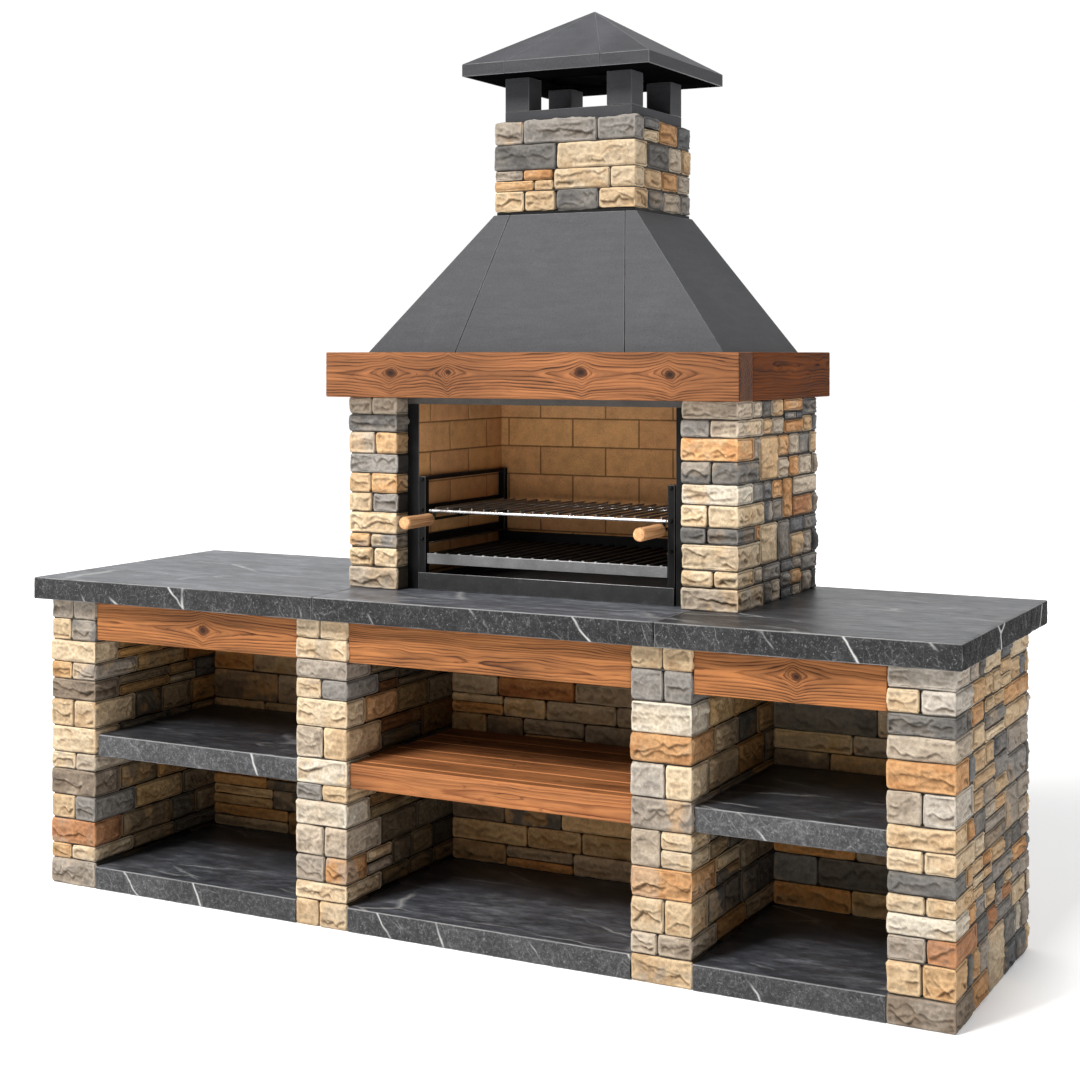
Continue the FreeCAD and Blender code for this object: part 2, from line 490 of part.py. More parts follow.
ob, ot = ring(HOOD_BASE, HOOD_Z0), ring(CHIM, HOOD_Z1)
ib, it = ring(HOOD_BASE, HOOD_Z0, HOOD_T), ring(CHIM, HOOD_Z1, HOOD_T)
for name, a, b in (("hood_right_panel", 1, 2), ("hood_back_panel", 2, 3), ("hood_left_panel", 3, 0)):
    put(name, slab(ob[a], ob[b], ot[b], ot[a], ib[a], ib[b], it[b], it[a]))
cuts = ((0.0, 0.0),) + HOOD_SEAMS + ((1.0, 1.0),)
for i in range(3):
    (p, q), (r, s) = cuts[i], cuts[i + 1]
    g = 0.8
    wb, wt = HOOD_BASE[1] - HOOD_BASE[0], CHIM[1] - CHIM[0]
    o = [mix(ob[0], ob[1], p), mix(ob[0], ob[1], r), mix(ot[0], ot[1], s), mix(ot[0], ot[1], q)]
    y0, y1 = ib[0][1], it[0][1]
    # inner points lie straight behind the outer seam points, and on the mitre at the two ends
    n_ = [(o[0][0], y0, HOOD_Z0), (o[1][0], y0, HOOD_Z0), (o[2][0], y1, HOOD_Z1), (o[3][0], y1, HOOD_Z1)]
    if i == 0:
        n_[0], n_[3] = ib[0], it[0]
    if i == 2:
        n_[1], n_[2] = ib[1], it[1]
    sh = lambda pt, d: (pt[0] + d, pt[1], pt[2])
    if i > 0:
        o[0], o[3], n_[0], n_[3] = sh(o[0], g), sh(o[3], g), sh(n_[0], g), sh(n_[3], g)
    if i < 2:
        o[1], o[2], n_[1], n_[2] = sh(o[1], -g), sh(o[2], -g), sh(n_[1], -g), sh(n_[2], -g)
    put("hood_front_panels", slab(o[0], o[1], o[2], o[3], n_[0], n_[1], n_[2], n_[3]))

# ---------------------------------------------------------------- chimney
cx0, cx1, cy0, cy1 = CHIM
e = 6.0
LINER_X, LINER_Y, LINER_T = 250.0, 200.0, 20.0
lcx, lcy = (cx0 + cx1) / 2, (cy0 + cy1) / 2
fw = 80.0
put("hood_top_frame", box(cx0 + e, cx1 - e, cy0 + e, cy0 + e + fw, HOOD_Z1, CHIM_Z0), box(cx0 + e, cx1 - e, cy1 - e - fw, cy1 - e, HOOD_Z1, CHIM_Z0), box(cx0 + e, cx0 + e + fw, cy0 + e + fw, cy1 - e - fw, HOOD_Z1, CHIM_Z0), box(cx1 - e - fw, cx1 - e, cy0 + e + fw, cy1 - e - fw, HOOD_Z1, CHIM_Z0))
liner = box(lcx - LINER_X / 2, lcx + LINER_X / 2, lcy - LINER_Y / 2, lcy + LINER_Y / 2, CHIM_Z0, CHIM_Z1)
liner = liner.cut(box(lcx - LINER_X / 2 + LINER_T, lcx + LINER_X / 2 - LINER_T, lcy - LINER_Y / 2 + LINER_T, lcy + LINER_Y / 2 - LINER_T, CHIM_Z0 - 1, CHIM_Z1 + 1))
put("flue_liner", liner)

# four courses from the top down: front stones as shares of the width (a tuple of shares splits into
# two layers), the depth of the front right corner stone, then the stones of the right side
CHIM_PLAN = [
    (63, [(0.0, 0.21), (0.21, 0.73), (0.73, 1.0)], 60.0),
    (72, [(0.0, 0.445), (0.445, 1.0)], 85.0),
    (57, [(0.0, 0.21, "t"), (0.21, 0.425, "t"), (0.0, 0.285, "b"), (0.285, 0.425, "b"), (0.425, 0.82), (0.82, 1.0)], 60.0),
    (57, [(0.0, 0.215), (0.215, 0.44), (0.44, 0.74), (0.74, 1.0)], 85.0),
]
rnd = random.Random(400)
W = cx1 - cx0
for i, ((za, zb), (h, front, corner)) in enumerate(zip(courses([c[0] for c in CHIM_PLAN], CHIM_Z0, CHIM_Z1), CHIM_PLAN)):
    a, b = lift(za, zb, CHIM_Z0, CHIM_Z1)
    if i == 0:
        b = zb
    zm = (a + b) / 2
    left_depth = (88.0, 60.0, 85.0, 70.0)[i]
    for item in front:
        p, q = item[0], item[1]
        x0 = cx0 + p * W + (JOINT / 2 if p > 0 else 0)
        x1 = cx0 + q * W - (JOINT / 2 if q < 1 else 0)
        z0, z1 = a, b
        if len(item) == 3:
            z0, z1 = (zm + 2.5, b) if item[2] == "t" else (a, zm - 2.5)
        d = corner if x1 > cx1 - CHIM_STONE else (left_depth if p == 0.0 else CHIM_STONE)
        put("chimney_stones", box(x0, x1, cy0, cy0 + d, z0, z1))
    # right and left sides run back to the rear stones, which take the rear corners
    rear_d = (90.0, 60.0, 90.0, 70.0)[i]
    put("chimney_stones", *run(lambda p, q, z0, z1: box(cx1 - CHIM_STONE, cx1, p, q, z0, z1), cy0 + max(corner, 0) + JOINT, cy1 - rear_d - JOINT, a, b, rnd, 75, 150, 0.35))
    put("chimney_stones", *run(lambda p, q, z0, z1: box(cx0, cx0 + CHIM_STONE, p, q, z0, z1), cy0 + left_depth + JOINT, cy1 - rear_d - JOINT, a, b, rnd, 75, 160, 0.25))
    put("chimney_stones", *run(lambda p, q, z0, z1: box(p, q, cy1 - rear_d, cy1, z0, z1), cx0, cx1, a, b, rnd, 90, 210, 0.2))
    if i < 3:
        m = 55.0
        put("mortar_beds", box(cx0 + RAKE, cx1 - RAKE, cy0 + RAKE, cy0 + m, za - JOINT / 2, za + JOINT / 2), box(cx0 + RAKE, cx1 - RAKE, cy1 - m, cy1 - RAKE, za - JOINT / 2, za + JOINT / 2), box(cx0 + RAKE, cx0 + m, cy0 + m, cy1 - m, za - JOINT / 2, za + JOINT / 2), box(cx1 - m, cx1 - RAKE, cy0 + m, cy1 - m, za - JOINT / 2, za + JOINT / 2))

# ---------------------------------------------------------------- chimney cap
qx0, qx1, qy0, qy1 = cx0 + CAP_INSET, cx1 - CAP_INSET, cy0 + CAP_INSET, cy1 - CAP_INSET
P = CAP_POST
zb = CHIM_Z1 + CAP_BAND
put("cap_base_frame", box(qx0, qx1, qy0, qy0 + 40, CHIM_Z1, zb), box(qx0, qx1, qy1 - 40, qy1, CHIM_Z1, zb), box(qx0, qx0 + 40, qy0 + 40, qy1 - 40, CHIM_Z1, zb), box(qx1 - 40, qx1, qy0 + 40, qy1 - 40, CHIM_Z1, zb))
for x in (qx0, qx1 - P):
    for y in (qy0, qy1 - P):
        put("cap_posts", box(x, x + P, y, y + P, zb, CAP_Z0))
fx0, fx1, fy0, fy1 = CAP
sw_ = 150.0
put("cap_soffit", box(fx0 + CAP_T, fx1 - CAP_T, fy0 + CAP_T, fy0 + sw_, CAP_Z0, CAP_Z0 + 4), box(fx0 + CAP_T, fx1 - CAP_T, fy1 - sw_, fy1 - CAP_T, CAP_Z0, CAP_Z0 + 4), box(fx0 + CAP_T, fx0 + sw_, fy0 + sw_, fy1 - sw_, CAP_Z0, CAP_Z0 + 4), box(fx1 - sw_, fx1 - CAP_T, fy0 + sw_, fy1 - sw_, CAP_Z0, CAP_Z0 + 4))
W = fx1 - fx0
s1, s2 = fx0 + CAP_SEAM_1 * W, fx0 + CAP_SEAM_2 * W
for p, q in ((fx0, s1 - 0.8), (s1 + 0.8, s2 - 0.8), (s2 + 0.8, fx1)):
    put("cap_fascia", box(p, q, fy0, fy0 + CAP_T, CAP_Z0, CAP_Z1))
put("cap_fascia", box(fx0, fx1, fy1 - CAP_T, fy1, CAP_Z0, CAP_Z1), box(fx0, fx0 + CAP_T, fy0 + CAP_T, fy1 - CAP_T, CAP_Z0, CAP_Z1), box(fx1 - CAP_T, fx1, fy0 + CAP_T, fy1 - CAP_T, CAP_Z0, CAP_Z1))
# hipped roof sheets, mitred along the hips
co = ring(CAP, CAP_Z1)
apex = ((fx0 + fx1) / 2, (fy0 + fy1) / 2, CAP_APEX)
k = 0.04
ci = [mix((apex[0], apex[1], CAP_Z1), p, 1 - k) for p in co]
ai = (apex[0], apex[1], CAP_Z1 + (CAP_APEX - CAP_Z1) * (1 - k))


def tri(o0, o1, i0, i1):
    return poly([o0, o1, apex, i0, i1, ai], [(0, 1, 2), (5, 4, 3), (0, 3, 4, 1), (1, 4, 5, 2), (2, 5, 3, 0)])


for a, b in ((1, 2), (2, 3), (3, 0)):
    put("cap_roof_sheets", tri(co[a], co[b], ci[a], ci[b]))
fr = [0.0, CAP_SEAM_1, CAP_SEAM_2, 1.0]
for i in range(3):
    put("cap_roof_sheets", tri(mix(co[0], co[1], fr[i]), mix(co[0], co[1], fr[i + 1]), mix(ci[0], ci[1], fr[i]), mix(ci[0], ci[1], fr[i + 1])))

# ---------------------------------------------------------------- write the nodes
os.makedirs("parts", exist_ok=True)
total = 0
for name, shapes in nodes.items():
    for s in shapes:
        assert s.isValid() and s.Volume > 0, name
    shape = shapes[0] if len(shapes) == 1 else Part.makeCompound(shapes)
    shape.exportStep("parts/%s.step" % name)
    total += len(shapes)
print(len(nodes), "nodes", total, "solids")
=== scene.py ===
import math

import bmesh
import bpy
import numpy as np
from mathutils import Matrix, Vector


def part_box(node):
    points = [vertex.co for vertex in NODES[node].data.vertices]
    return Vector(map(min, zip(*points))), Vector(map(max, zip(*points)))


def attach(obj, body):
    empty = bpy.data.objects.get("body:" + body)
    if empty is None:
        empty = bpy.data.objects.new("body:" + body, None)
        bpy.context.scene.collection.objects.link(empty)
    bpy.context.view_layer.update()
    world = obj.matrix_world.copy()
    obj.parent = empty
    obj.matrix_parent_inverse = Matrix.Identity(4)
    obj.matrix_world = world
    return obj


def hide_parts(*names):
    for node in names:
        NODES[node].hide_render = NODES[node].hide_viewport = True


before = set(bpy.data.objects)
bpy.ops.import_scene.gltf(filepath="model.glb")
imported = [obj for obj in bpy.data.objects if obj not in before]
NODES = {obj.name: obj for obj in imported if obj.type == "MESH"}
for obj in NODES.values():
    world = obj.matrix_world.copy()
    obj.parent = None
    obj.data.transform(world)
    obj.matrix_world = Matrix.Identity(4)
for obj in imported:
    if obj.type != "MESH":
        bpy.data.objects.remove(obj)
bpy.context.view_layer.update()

CELL = 1.0


# ------------------------------------------------------------------ noise
_T = np.random.default_rng(7).uniform(-1, 1, 64 ** 3).astype(np.float32)


def vnoise(p):
    """Smooth value noise in -1..1 at the points p (n, 3)."""
    i = np.floor(p).astype(np.int64)
    f = (p - i).astype(np.float32)
    f = f * f * (3 - 2 * f)
    i &= 63
    j = (i + 1) & 63
    x0, y0, z0 = i[:, 0] << 12, i[:, 1] << 6, i[:, 2]
    x1, y1, z1 = j[:, 0] << 12, j[:, 1] << 6, j[:, 2]
    fx, fy, fz = f[:, 0], f[:, 1], f[:, 2]
    a = _T[x0 | y0 | z0] * (1 - fz) + _T[x0 | y0 | z1] * fz
    b = _T[x0 | y1 | z0] * (1 - fz) + _T[x0 | y1 | z1] * fz
    c = _T[x1 | y0 | z0] * (1 - fz) + _T[x1 | y0 | z1] * fz
    d = _T[x1 | y1 | z0] * (1 - fz) + _T[x1 | y1 | z1] * fz
    a = a * (1 - fy) + b * fy
    c = c * (1 - fy) + d * fy
    return a * (1 - fx) + c * fx


def fbm(p, octaves=4, gain=0.5):
    s, a, t = 0.0, 1.0, 0.0
    for o in range(octaves):
        s = s + a * vnoise(p * (2.03 ** o) + 17.3 * o)
        t += a
        a *= gain
    return s / t * 1.35


_J = (np.random.default_rng(11).uniform(-0.36, 0.36, (64 ** 3, 3))).astype(np.float32)
_H = np.random.default_rng(12).uniform(-1, 1, 64 ** 3).astype(np.float32)


def bowls(p, vary):
    """Shallow bowls, one per unit cube, that meet in ridges: height above the floor of the bowl, and its number."""
    b = np.floor(p - 0.5).astype(np.int64)
    h, v = np.full(len(p), 9.0, np.float32), np.zeros(len(p), np.float32)
    for k in range(8):
        c = b + np.array([k & 1, (k >> 1) & 1, k >> 2])
        i = ((c[:, 0] & 63) << 12) | ((c[:, 1] & 63) << 6) | (c[:, 2] & 63)
        q = (c - p).astype(np.float32) + 0.5 + _J[i]
        t = np.einsum("ij,ij->i", q, q) + vary * _H[i]
        v = np.where(t < h, _H[i], v)
        h = np.minimum(h, t)
    return h, v


def smooth(a, b, x):
    t = np.clip((x - a) / (b - a), 0, 1)
    return t * t * (3 - 2 * t)


def lin(rgb):
    """0..255 display colour to linear."""
    c = np.asarray(rgb, float) / 255
    return np.where(c <= 0.04045, c / 12.92, ((c + 0.055) / 1.055) ** 2.4)


# ------------------------------------------------------------------ the solids of a node
def solids(name):
    """The closed solids of a node, in order: (vertices, triangles) of each."""
    me = NODES[name].data
    co = np.empty(len(me.vertices) * 3, np.float32)
    me.vertices.foreach_get("co", co)
    co = co.reshape(-1, 3).astype(float)
    me.calc_loop_triangles()
    t = np.empty(len(me.loop_triangles) * 3, np.int32)
    me.loop_triangles.foreach_get("vertices", t)
    _, first, inv = np.unique(np.round(co * 2e4).astype(np.int64), axis=0, return_index=True, return_inverse=True)
    t = inv.ravel()[t].reshape(-1, 3)
    groups, cur, loose = [], [], set()
    for a, b, c in t.tolist():
        if a == b or b == c or a == c:
            continue
        cur.append((a, b, c))
        for p, q in ((a, b), (b, c), (c, a)):
            if (q, p) in loose:
                loose.remove((q, p))
            else:
                loose.add((p, q))
        if not loose:
            groups.append(cur)
            cur = []
    if cur:
        groups.append(cur)
    out = []
    for g in groups:
        ids, loc = np.unique(np.array(g), return_inverse=True)
        out.append((co[first[ids]], loc.reshape(-1, 3)))
    return out


def boxes(name):
    return np.array([np.concatenate([v.min(0), v.max(0)]) for v, t in solids(name)])


# ------------------------------------------------------------------ mesh building
class Soup:
    """Collects vertices, faces and point values of one piece."""

    def __init__(self):
        self.v, self.loops, self.sizes, self.n = [], [], [], 0
        self.attr = {}

    def add(self, verts, quads=None, ngons=(), **attr):
        self.v.append(np.asarray(verts, float))
        if quads is not None and len(quads):
            self.loops.append((np.asarray(quads) + self.n).ravel())
            self.sizes.append(np.full(len(quads), np.asarray(quads).shape[1]))
        for g in ngons:
            self.loops.append(np.asarray(g) + self.n)
            self.sizes.append(np.array([len(g)]))
        for k, a in attr.items():
            self.attr.setdefault(k, []).append(np.asarray(a, float))
        self.n += len(verts)

    def build(self, name, mats, smooth_shade=True, body="masonry", node=None):
        me = bpy.data.meshes.new(name)
        v = np.concatenate(self.v)
        loops = np.concatenate(self.loops).astype(np.int32)
        sizes = np.concatenate(self.sizes).astype(np.int32)
        me.vertices.add(len(v))
        me.vertices.foreach_set("co", v.astype(np.float32).ravel())
        me.loops.add(len(loops))
        me.loops.foreach_set("vertex_index", loops)
        me.polygons.add(len(sizes))
        me.polygons.foreach_set("loop_start", np.concatenate([[0], np.cumsum(sizes)[:-1]]).astype(np.int32))
        me.polygons.foreach_set("use_smooth", np.full(len(sizes), smooth_shade))
        me.update(calc_edges=True)
        for k, parts in self.attr.items():
            a = np.concatenate(parts)
            if a.ndim == 1:
                me.attributes.new(k, "FLOAT", "POINT").data.foreach_set("value", a.astype(np.float32))
            elif k.startswith("col"):
                c = np.ones((len(a), 4), np.float32)
                c[:, :3] = a
                me.attributes.new(k, "FLOAT_COLOR", "POINT").data.foreach_set("color", c.ravel())
            else:
                me.attributes.new(k, "FLOAT_VECTOR", "POINT").data.foreach_set("vector", a.astype(np.float32).ravel())
        me.validate()
        return finish_piece(me, name, mats, body, node)


def finish_piece(me, name, mats, body, node):
    ob = bpy.data.objects.new(name, me)
    bpy.context.scene.collection.objects.link(ob)
    for m in mats if isinstance(mats, (list, tuple)) else [mats]:
        me.materials.append(m)
    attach(ob, body)
    if node:
        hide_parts(node)
    return ob


def lattice(lines, fan):
    """The surface grid of a box. lines: coordinates along each axis; fan: faces (-x +x -y +y -z +z) closed with one face."""
    n = [len(a) for a in lines]
    quads, rings = [], []
    for k in range(3):
        u, v = (k + 1) % 3, (k + 2) % 3
        iu, iv = np.meshgrid(np.arange(n[u]), np.arange(n[v]), indexing="ij")
        for s in (0, 1):
            ix = [None] * 3
            ix[k] = np.full_like(iu, 0 if s == 0 else n[k] - 1)
            ix[u], ix[v] = iu, iv
            g = (ix[0] * n[1] + ix[1]) * n[2] + ix[2]
            if fan[2 * k + s]:
                ring = np.concatenate([g[:-1, 0], g[-1, :-1], g[:0:-1, -1], g[0, :0:-1]])
                rings.append(ring[::-1] if s == 0 else ring)
            else:
                q = np.stack([g[:-1, :-1], g[1:, :-1], g[1:, 1:], g[:-1, 1:]], -1).reshape(-1, 4)
                quads.append(q[:, ::-1] if s == 0 else q)
    parts = [np.concatenate(quads).ravel()] + rings
    uniq, inv = np.unique(np.concatenate(parts), return_inverse=True)
    inv = inv.ravel()
    nq = len(parts[0])
    q = inv[:nq].reshape(-1, 4)
    out, at = [], nq
    for r in rings:
        out.append(inv[at:at + len(r)])
        at += len(r)
    i, rest = np.divmod(uniq, n[1] * n[2])
    j, k = np.divmod(rest, n[2])
    p = np.stack([lines[0][i], lines[1][j], lines[2][k]], -1)
    return p, q, out


def spread(a, b, cell, r):
    """Even lines with extra ones in the rounded ends."""
    r = min(r, 0.4 * (b - a))
    n = max(2, int(round((b - a - 2 * r) / cell)) + 1)
    e = (0.0, 0.2, 0.55) if r > 1.9 * cell else (0.0, 0.38)
    return np.concatenate([[a + t * r for t in e], np.linspace(a + r, b - r, n), [b - t * r for t in e[::-1]]])


def rim(a, b, lo, hi, r):
    """Lines for an axis that only needs detail at its exposed ends."""
    r = min(r, 0.4 * (b - a))
    s = [a]
    if lo:
        s += [a + 0.2 * r, a + 0.55 * r, a + r] + ([a + 1.8 * r] if b - a > 4 * r else [])
    if hi:
        s += ([b - 1.8 * r] if b - a > 4 * r else []) + [b - r, b - 0.55 * r, b - 0.2 * r]
    return np.array(s + [b])


def rounded(p, lo, hi, r):
    """Points of a box surface moved to a box with rounded edges; returns points and outward normals."""
    rr = np.minimum(r, 0.45 * (hi - lo).min())
    q = np.clip(p, lo + rr, hi - rr)
    d = p - q
    n = d / np.maximum(np.linalg.norm(d, axis=1, keepdims=True), 1e-9)
    return q + n * rr, n


# ------------------------------------------------------------------ materials
class Mat:
    def __init__(self, name, **sockets):
        self.m = bpy.data.materials.new(name)
        self.m.use_nodes = True
        self.nt = self.m.node_tree
        self.b = self.nt.nodes["Principled BSDF"]
        for k, v in sockets.items():
            self.b.inputs[k.replace("_", " ")].default_value = v
        self._co = None

    def put(self, sock, v):
        if hasattr(v, "is_output"):
            self.nt.links.new(v, sock)
        elif isinstance(v, (tuple, list, np.ndarray)):
            v = [float(x) for x in v]
            sock.default_value = v + [1.0] if sock.type == "RGBA" and len(v) == 3 else v
        else:
            sock.default_value = v

    @property
    def co(self):
        if self._co is None:
            self._co = self.nt.nodes.new("ShaderNodeTexCoord").outputs["Object"]
        return self._co

    def turned(self, a, vec=None):
        n = self.nt.nodes.new("ShaderNodeMapping")
        self.put(n.inputs["Vector"], vec or self.co)
        n.inputs["Rotation"].default_value = a
        return n.outputs["Vector"]

    def scaled(self, s, vec=None, loc=(0, 0, 0)):
        n = self.nt.nodes.new("ShaderNodeMapping")
        self.put(n.inputs["Vector"], vec or self.co)
        n.inputs["Scale"].default_value = s
        n.inputs["Location"].default_value = loc
        return n.outputs["Vector"]

    def noise(self, scale, detail=6.0, rough=0.55, vec=None, dist=0.0, color=False):
        n = self.nt.nodes.new("ShaderNodeTexNoise")
        self.put(n.inputs["Vector"], vec or self.co)
        n.inputs["Scale"].default_value = scale
        n.inputs["Detail"].default_value = detail
        n.inputs["Roughness"].default_value = rough
        n.inputs["Distortion"].default_value = dist
        return n.outputs["Color" if color else "Fac"]

    def voronoi(self, scale, feature="F1", vec=None):
        n = self.nt.nodes.new("ShaderNodeTexVoronoi")
        n.feature = feature
        self.put(n.inputs["Vector"], vec or self.co)
        n.inputs["Scale"].default_value = scale
        return n.outputs["Distance"]

    def ramp(self, fac, stops):
        n = self.nt.nodes.new("ShaderNodeValToRGB")
        e = n.color_ramp.elements
        while len(e) > 1:
            e.remove(e[-1])
        for i, (pos, c) in enumerate(stops):
            el = e[0] if i == 0 else e.new(pos)
            el.position = pos
            c = (c, c, c) if isinstance(c, (int, float)) else c
            el.color = (float(c[0]), float(c[1]), float(c[2]), 1)
        self.put(n.inputs["Fac"], fac)
        return n.outputs["Color"]

    def mix(self, fac, a, b, mode="MIX"):
        n = self.nt.nodes.new("ShaderNodeMix")
        n.data_type = "RGBA"
        n.blend_type = mode
        self.put(n.inputs[0], fac)
        self.put(n.inputs[6], a)
        self.put(n.inputs[7], b)
        return n.outputs[2]

    def math(self, op, a, b=0.0, c=0.0):
        n = self.nt.nodes.new("ShaderNodeMath")
        n.operation = op
        self.put(n.inputs[0], a)
        self.put(n.inputs[1], b)
        self.put(n.inputs[2], c)
        return n.outputs[0]

    def fit(self, v, a, b, c, d):
        n = self.nt.nodes.new("ShaderNodeMapRange")
        self.put(n.inputs[0], v)
        for i, x in enumerate((a, b, c, d)):
            n.inputs[i + 1].default_value = x
        return n.outputs[0]

    def attr(self, name, out="Fac"):
        n = self.nt.nodes.new("ShaderNodeAttribute")
        n.attribute_name = name
        return n.outputs[out]

    def warp(self, vec, amount, scale):
        """vec moved by a noise of its own."""
        c = self.noise(scale, 3.0, 0.5, vec=vec, color=True)
        s = self.nt.nodes.new("ShaderNodeVectorMath")
        s.operation = "MULTIPLY_ADD"
        self.put(s.inputs[0], c)
        s.inputs[1].default_value = (amount,) * 3
        self.put(s.inputs[2], vec)
        return s.outputs[0]

    def bump(self, height, distance, strength=1.0):
        n = self.nt.nodes.new("ShaderNodeBump")
        n.inputs["Strength"].default_value = strength
        n.inputs["Distance"].default_value = distance
        self.put(n.inputs["Height"], height)
        self.nt.links.new(n.outputs[0], self.b.inputs["Normal"])

    def base(self, v):
        self.put(self.b.inputs["Base Color"], v)

    def rough(self, v):
        self.put(self.b.inputs["Roughness"], v)


def stone_material():
    m = Mat("facing_stone", Specular_IOR_Level=0.22)
    col = m.attr("col", "Color")
    grain = m.noise(120, 9.0, 0.70)
    fine = m.noise(460, 5.0, 0.6)
    specks = m.noise(260, 2.0, 0.5)
    c = m.mix(1.0, col, m.ramp(grain, [(0.25, 0.66), (0.5, 1.0), (0.75, 1.25)]), "MULTIPLY")
    c = m.mix(1.0, c, m.ramp(fine, [(0.3, 0.84), (0.5, 1.0), (0.7, 1.13)]), "MULTIPLY")
    c = m.mix(m.ramp(specks, [(0.68, 0.0), (0.76, 0.45)]), c, (0.07, 0.052, 0.038))
    m.base(c)
    m.rough(m.fit(grain, 0.2, 0.8, 0.80, 0.96))
    h = m.math("ADD", m.math("MULTIPLY", grain, 1.0), m.math("MULTIPLY", fine, 0.35))
    m.bump(h, 0.0045, 0.85)
    return m.m


def slate_material(name="slate"):
    m = Mat(name, Specular_Tint=(0.94, 0.965, 1.0, 1.0))
    side = m.attr("side")
    top = m.math("SUBTRACT", 1.0, side)
    cloud = m.noise(4.2, 9.0, 0.64, vec=m.warp(m.co, 0.12, 2.6))
    mott = m.noise(80, 9.0, 0.76, vec=m.warp(m.co, 0.012, 40))
    c = m.ramp(cloud, [(0.30, (0.0140, 0.0142, 0.0150)), (0.5, (0.0215, 0.0217, 0.0227)), (0.70, (0.0335, 0.0337, 0.0350))])
    c = m.mix(1.0, c, m.ramp(mott, [(0.30, 0.42), (0.50, 0.92), (0.58, 1.45), (0.66, 2.5), (0.76, 4.4)]), "MULTIPLY")
    # honed tops: cloudy, drawn out along the slab in streaks
    strk = m.noise(1.0, 10.0, 0.76, vec=m.scaled((5.0, 15, 9), vec=m.warp(m.turned((0, 0, 0.10)), 0.06, 6.0)))
    strk2 = m.noise(1.0, 8.0, 0.72, vec=m.scaled((16.0, 46, 20), vec=m.turned((0, 0, -0.20))))
    t = m.ramp(strk, [(0.30, (0.0146, 0.0156, 0.0186)), (0.48, (0.0262, 0.0280, 0.0326)), (0.58, (0.0430, 0.0455, 0.0518)), (0.70, (0.083, 0.087, 0.096))])
    t = m.mix(1.0, t, m.ramp(strk2, [(0.30, 0.50), (0.5, 1.0), (0.68, 1.8)]), "MULTIPLY")
    c = m.mix(top, c, t)
    # pale veins: crossing the cut sides on the slant, lying along the tops; hair lines gather in patches
    w = m.warp(m.warp(m.co, 0.050, 6.0), 0.006, 40.0)
    slant = m.voronoi(1.0, "DISTANCE_TO_EDGE", vec=m.scaled((5.0, 3.0, 1.5), vec=m.turned((0.2, 0.62, 0.3), vec=w)))
    long = m.ramp(slant, [(0.0, 1.0), (0.0060, 0.85), (0.0125, 0.14), (0.022, 0.0)])
    where = m.ramp(m.noise(3.4, 4.0, 0.55, vec=m.scaled((1, 1, 1), loc=(5, 2, 7))), [(0.47, 0.0), (0.55, 1.0)])
    long = m.math("MULTIPLY", m.math("MULTIPLY", long, where), side)
    second = m.voronoi(1.0, "DISTANCE_TO_EDGE", vec=m.scaled((16, 11, 6), vec=m.turned((0.4, 0.5, 0.1), vec=m.warp(w, 0.007, 30.0))))
    hair = m.ramp(second, [(0.0, 0.9), (0.007, 0.5), (0.018, 0.0)])
    patch = m.ramp(m.noise(13.0, 6.0, 0.66, vec=m.scaled((1, 1, 1), loc=(1, 9, 4))), [(0.48, 0.0), (0.60, 1.0)])
    hair = m.math("MULTIPLY", m.math("MULTIPLY", hair, patch), m.math("MULTIPLY", side, 0.28))
    third = m.voronoi(1.0, "DISTANCE_TO_EDGE", vec=m.scaled((60, 44, 30), vec=m.turned((0.1, 0.4, 0.5), vec=m.warp(w, 0.005, 60.0))))
    fine = m.ramp(third, [(0.0, 0.9), (0.024, 0.5), (0.058, 0.0)])
    patch2 = m.ramp(m.noise(34.0, 5.0, 0.66, vec=m.scaled((1, 1, 1), loc=(7, 1, 2))), [(0.50, 0.0), (0.60, 1.0)])
    fine = m.math("MULTIPLY", m.math("MULTIPLY", fine, patch2), m.math("MULTIPLY", side, 0.17))
    lay = m.voronoi(1.0, "DISTANCE_TO_EDGE", vec=m.scaled((1.3, 5.0, 2.0), vec=m.turned((0, 0, 0.10), vec=m.warp(m.warp(m.co, 0.10, 3.0), 0.03, 18.0))))
    draw = m.ramp(lay, [(0.0, 1.0), (0.008, 0.60), (0.022, 0.0)])
    gate = m.ramp(m.noise(4.0, 5.0, 0.62, vec=m.scaled((1, 1, 1), loc=(3, 3, 1))), [(0.47, 0.0), (0.60, 1.0)])
    draw = m.math("MULTIPLY", m.math("MULTIPLY", draw, gate), m.math("MULTIPLY", top, 0.50))
    specks = m.ramp(m.noise(210, 3.0, 0.6), [(0.60, 0.0), (0.72, 1.0)])
    specks = m.math("MULTIPLY", m.math("MULTIPLY", specks, side), 0.34)
    vein = m.math("MAXIMUM", m.math("MAXIMUM", m.math("MULTIPLY", long, 0.95), hair), m.math("MAXIMUM", m.math("MAXIMUM", fine, specks), draw))
    # painted light and shade: each slab's tops and fronts scaled by a point attribute, which also scales the sides'
    # specular
    c = m.mix(1.0, c, m.attr("lift"), "MULTIPLY")
    c = m.mix(vein, c, (0.46, 0.46, 0.455))
    # paler edges: partly wear, partly painted highlight
    c = m.mix(m.math("MULTIPLY", m.attr("worn"), 0.95), c, (0.40, 0.40, 0.40))
    m.base(c)
    m.put(m.b.inputs["Specular IOR Level"], m.math("ADD", m.math("MULTIPLY", top, m.fit(strk, 0.34, 0.66, 0.22, 0.56)), m.math("MULTIPLY", m.math("MULTIPLY", side, 0.16), m.math("MINIMUM", m.attr("lift"), 1.0))))
    m.rough(m.fit(m.math("ADD", m.math("MULTIPLY", strk2, top), m.math("MULTIPLY", m.math("ADD", mott, 0.35), side)), 0.25, 1.05, 0.26, 0.68))
    h = m.math("ADD", mott, m.math("MULTIPLY", m.noise(260, 4.0), 0.3))
    m.bump(m.math("MULTIPLY", h, m.fit(side, 0.0, 1.0, 0.35, 1.8)), 0.0016, 0.9)
    return m.m


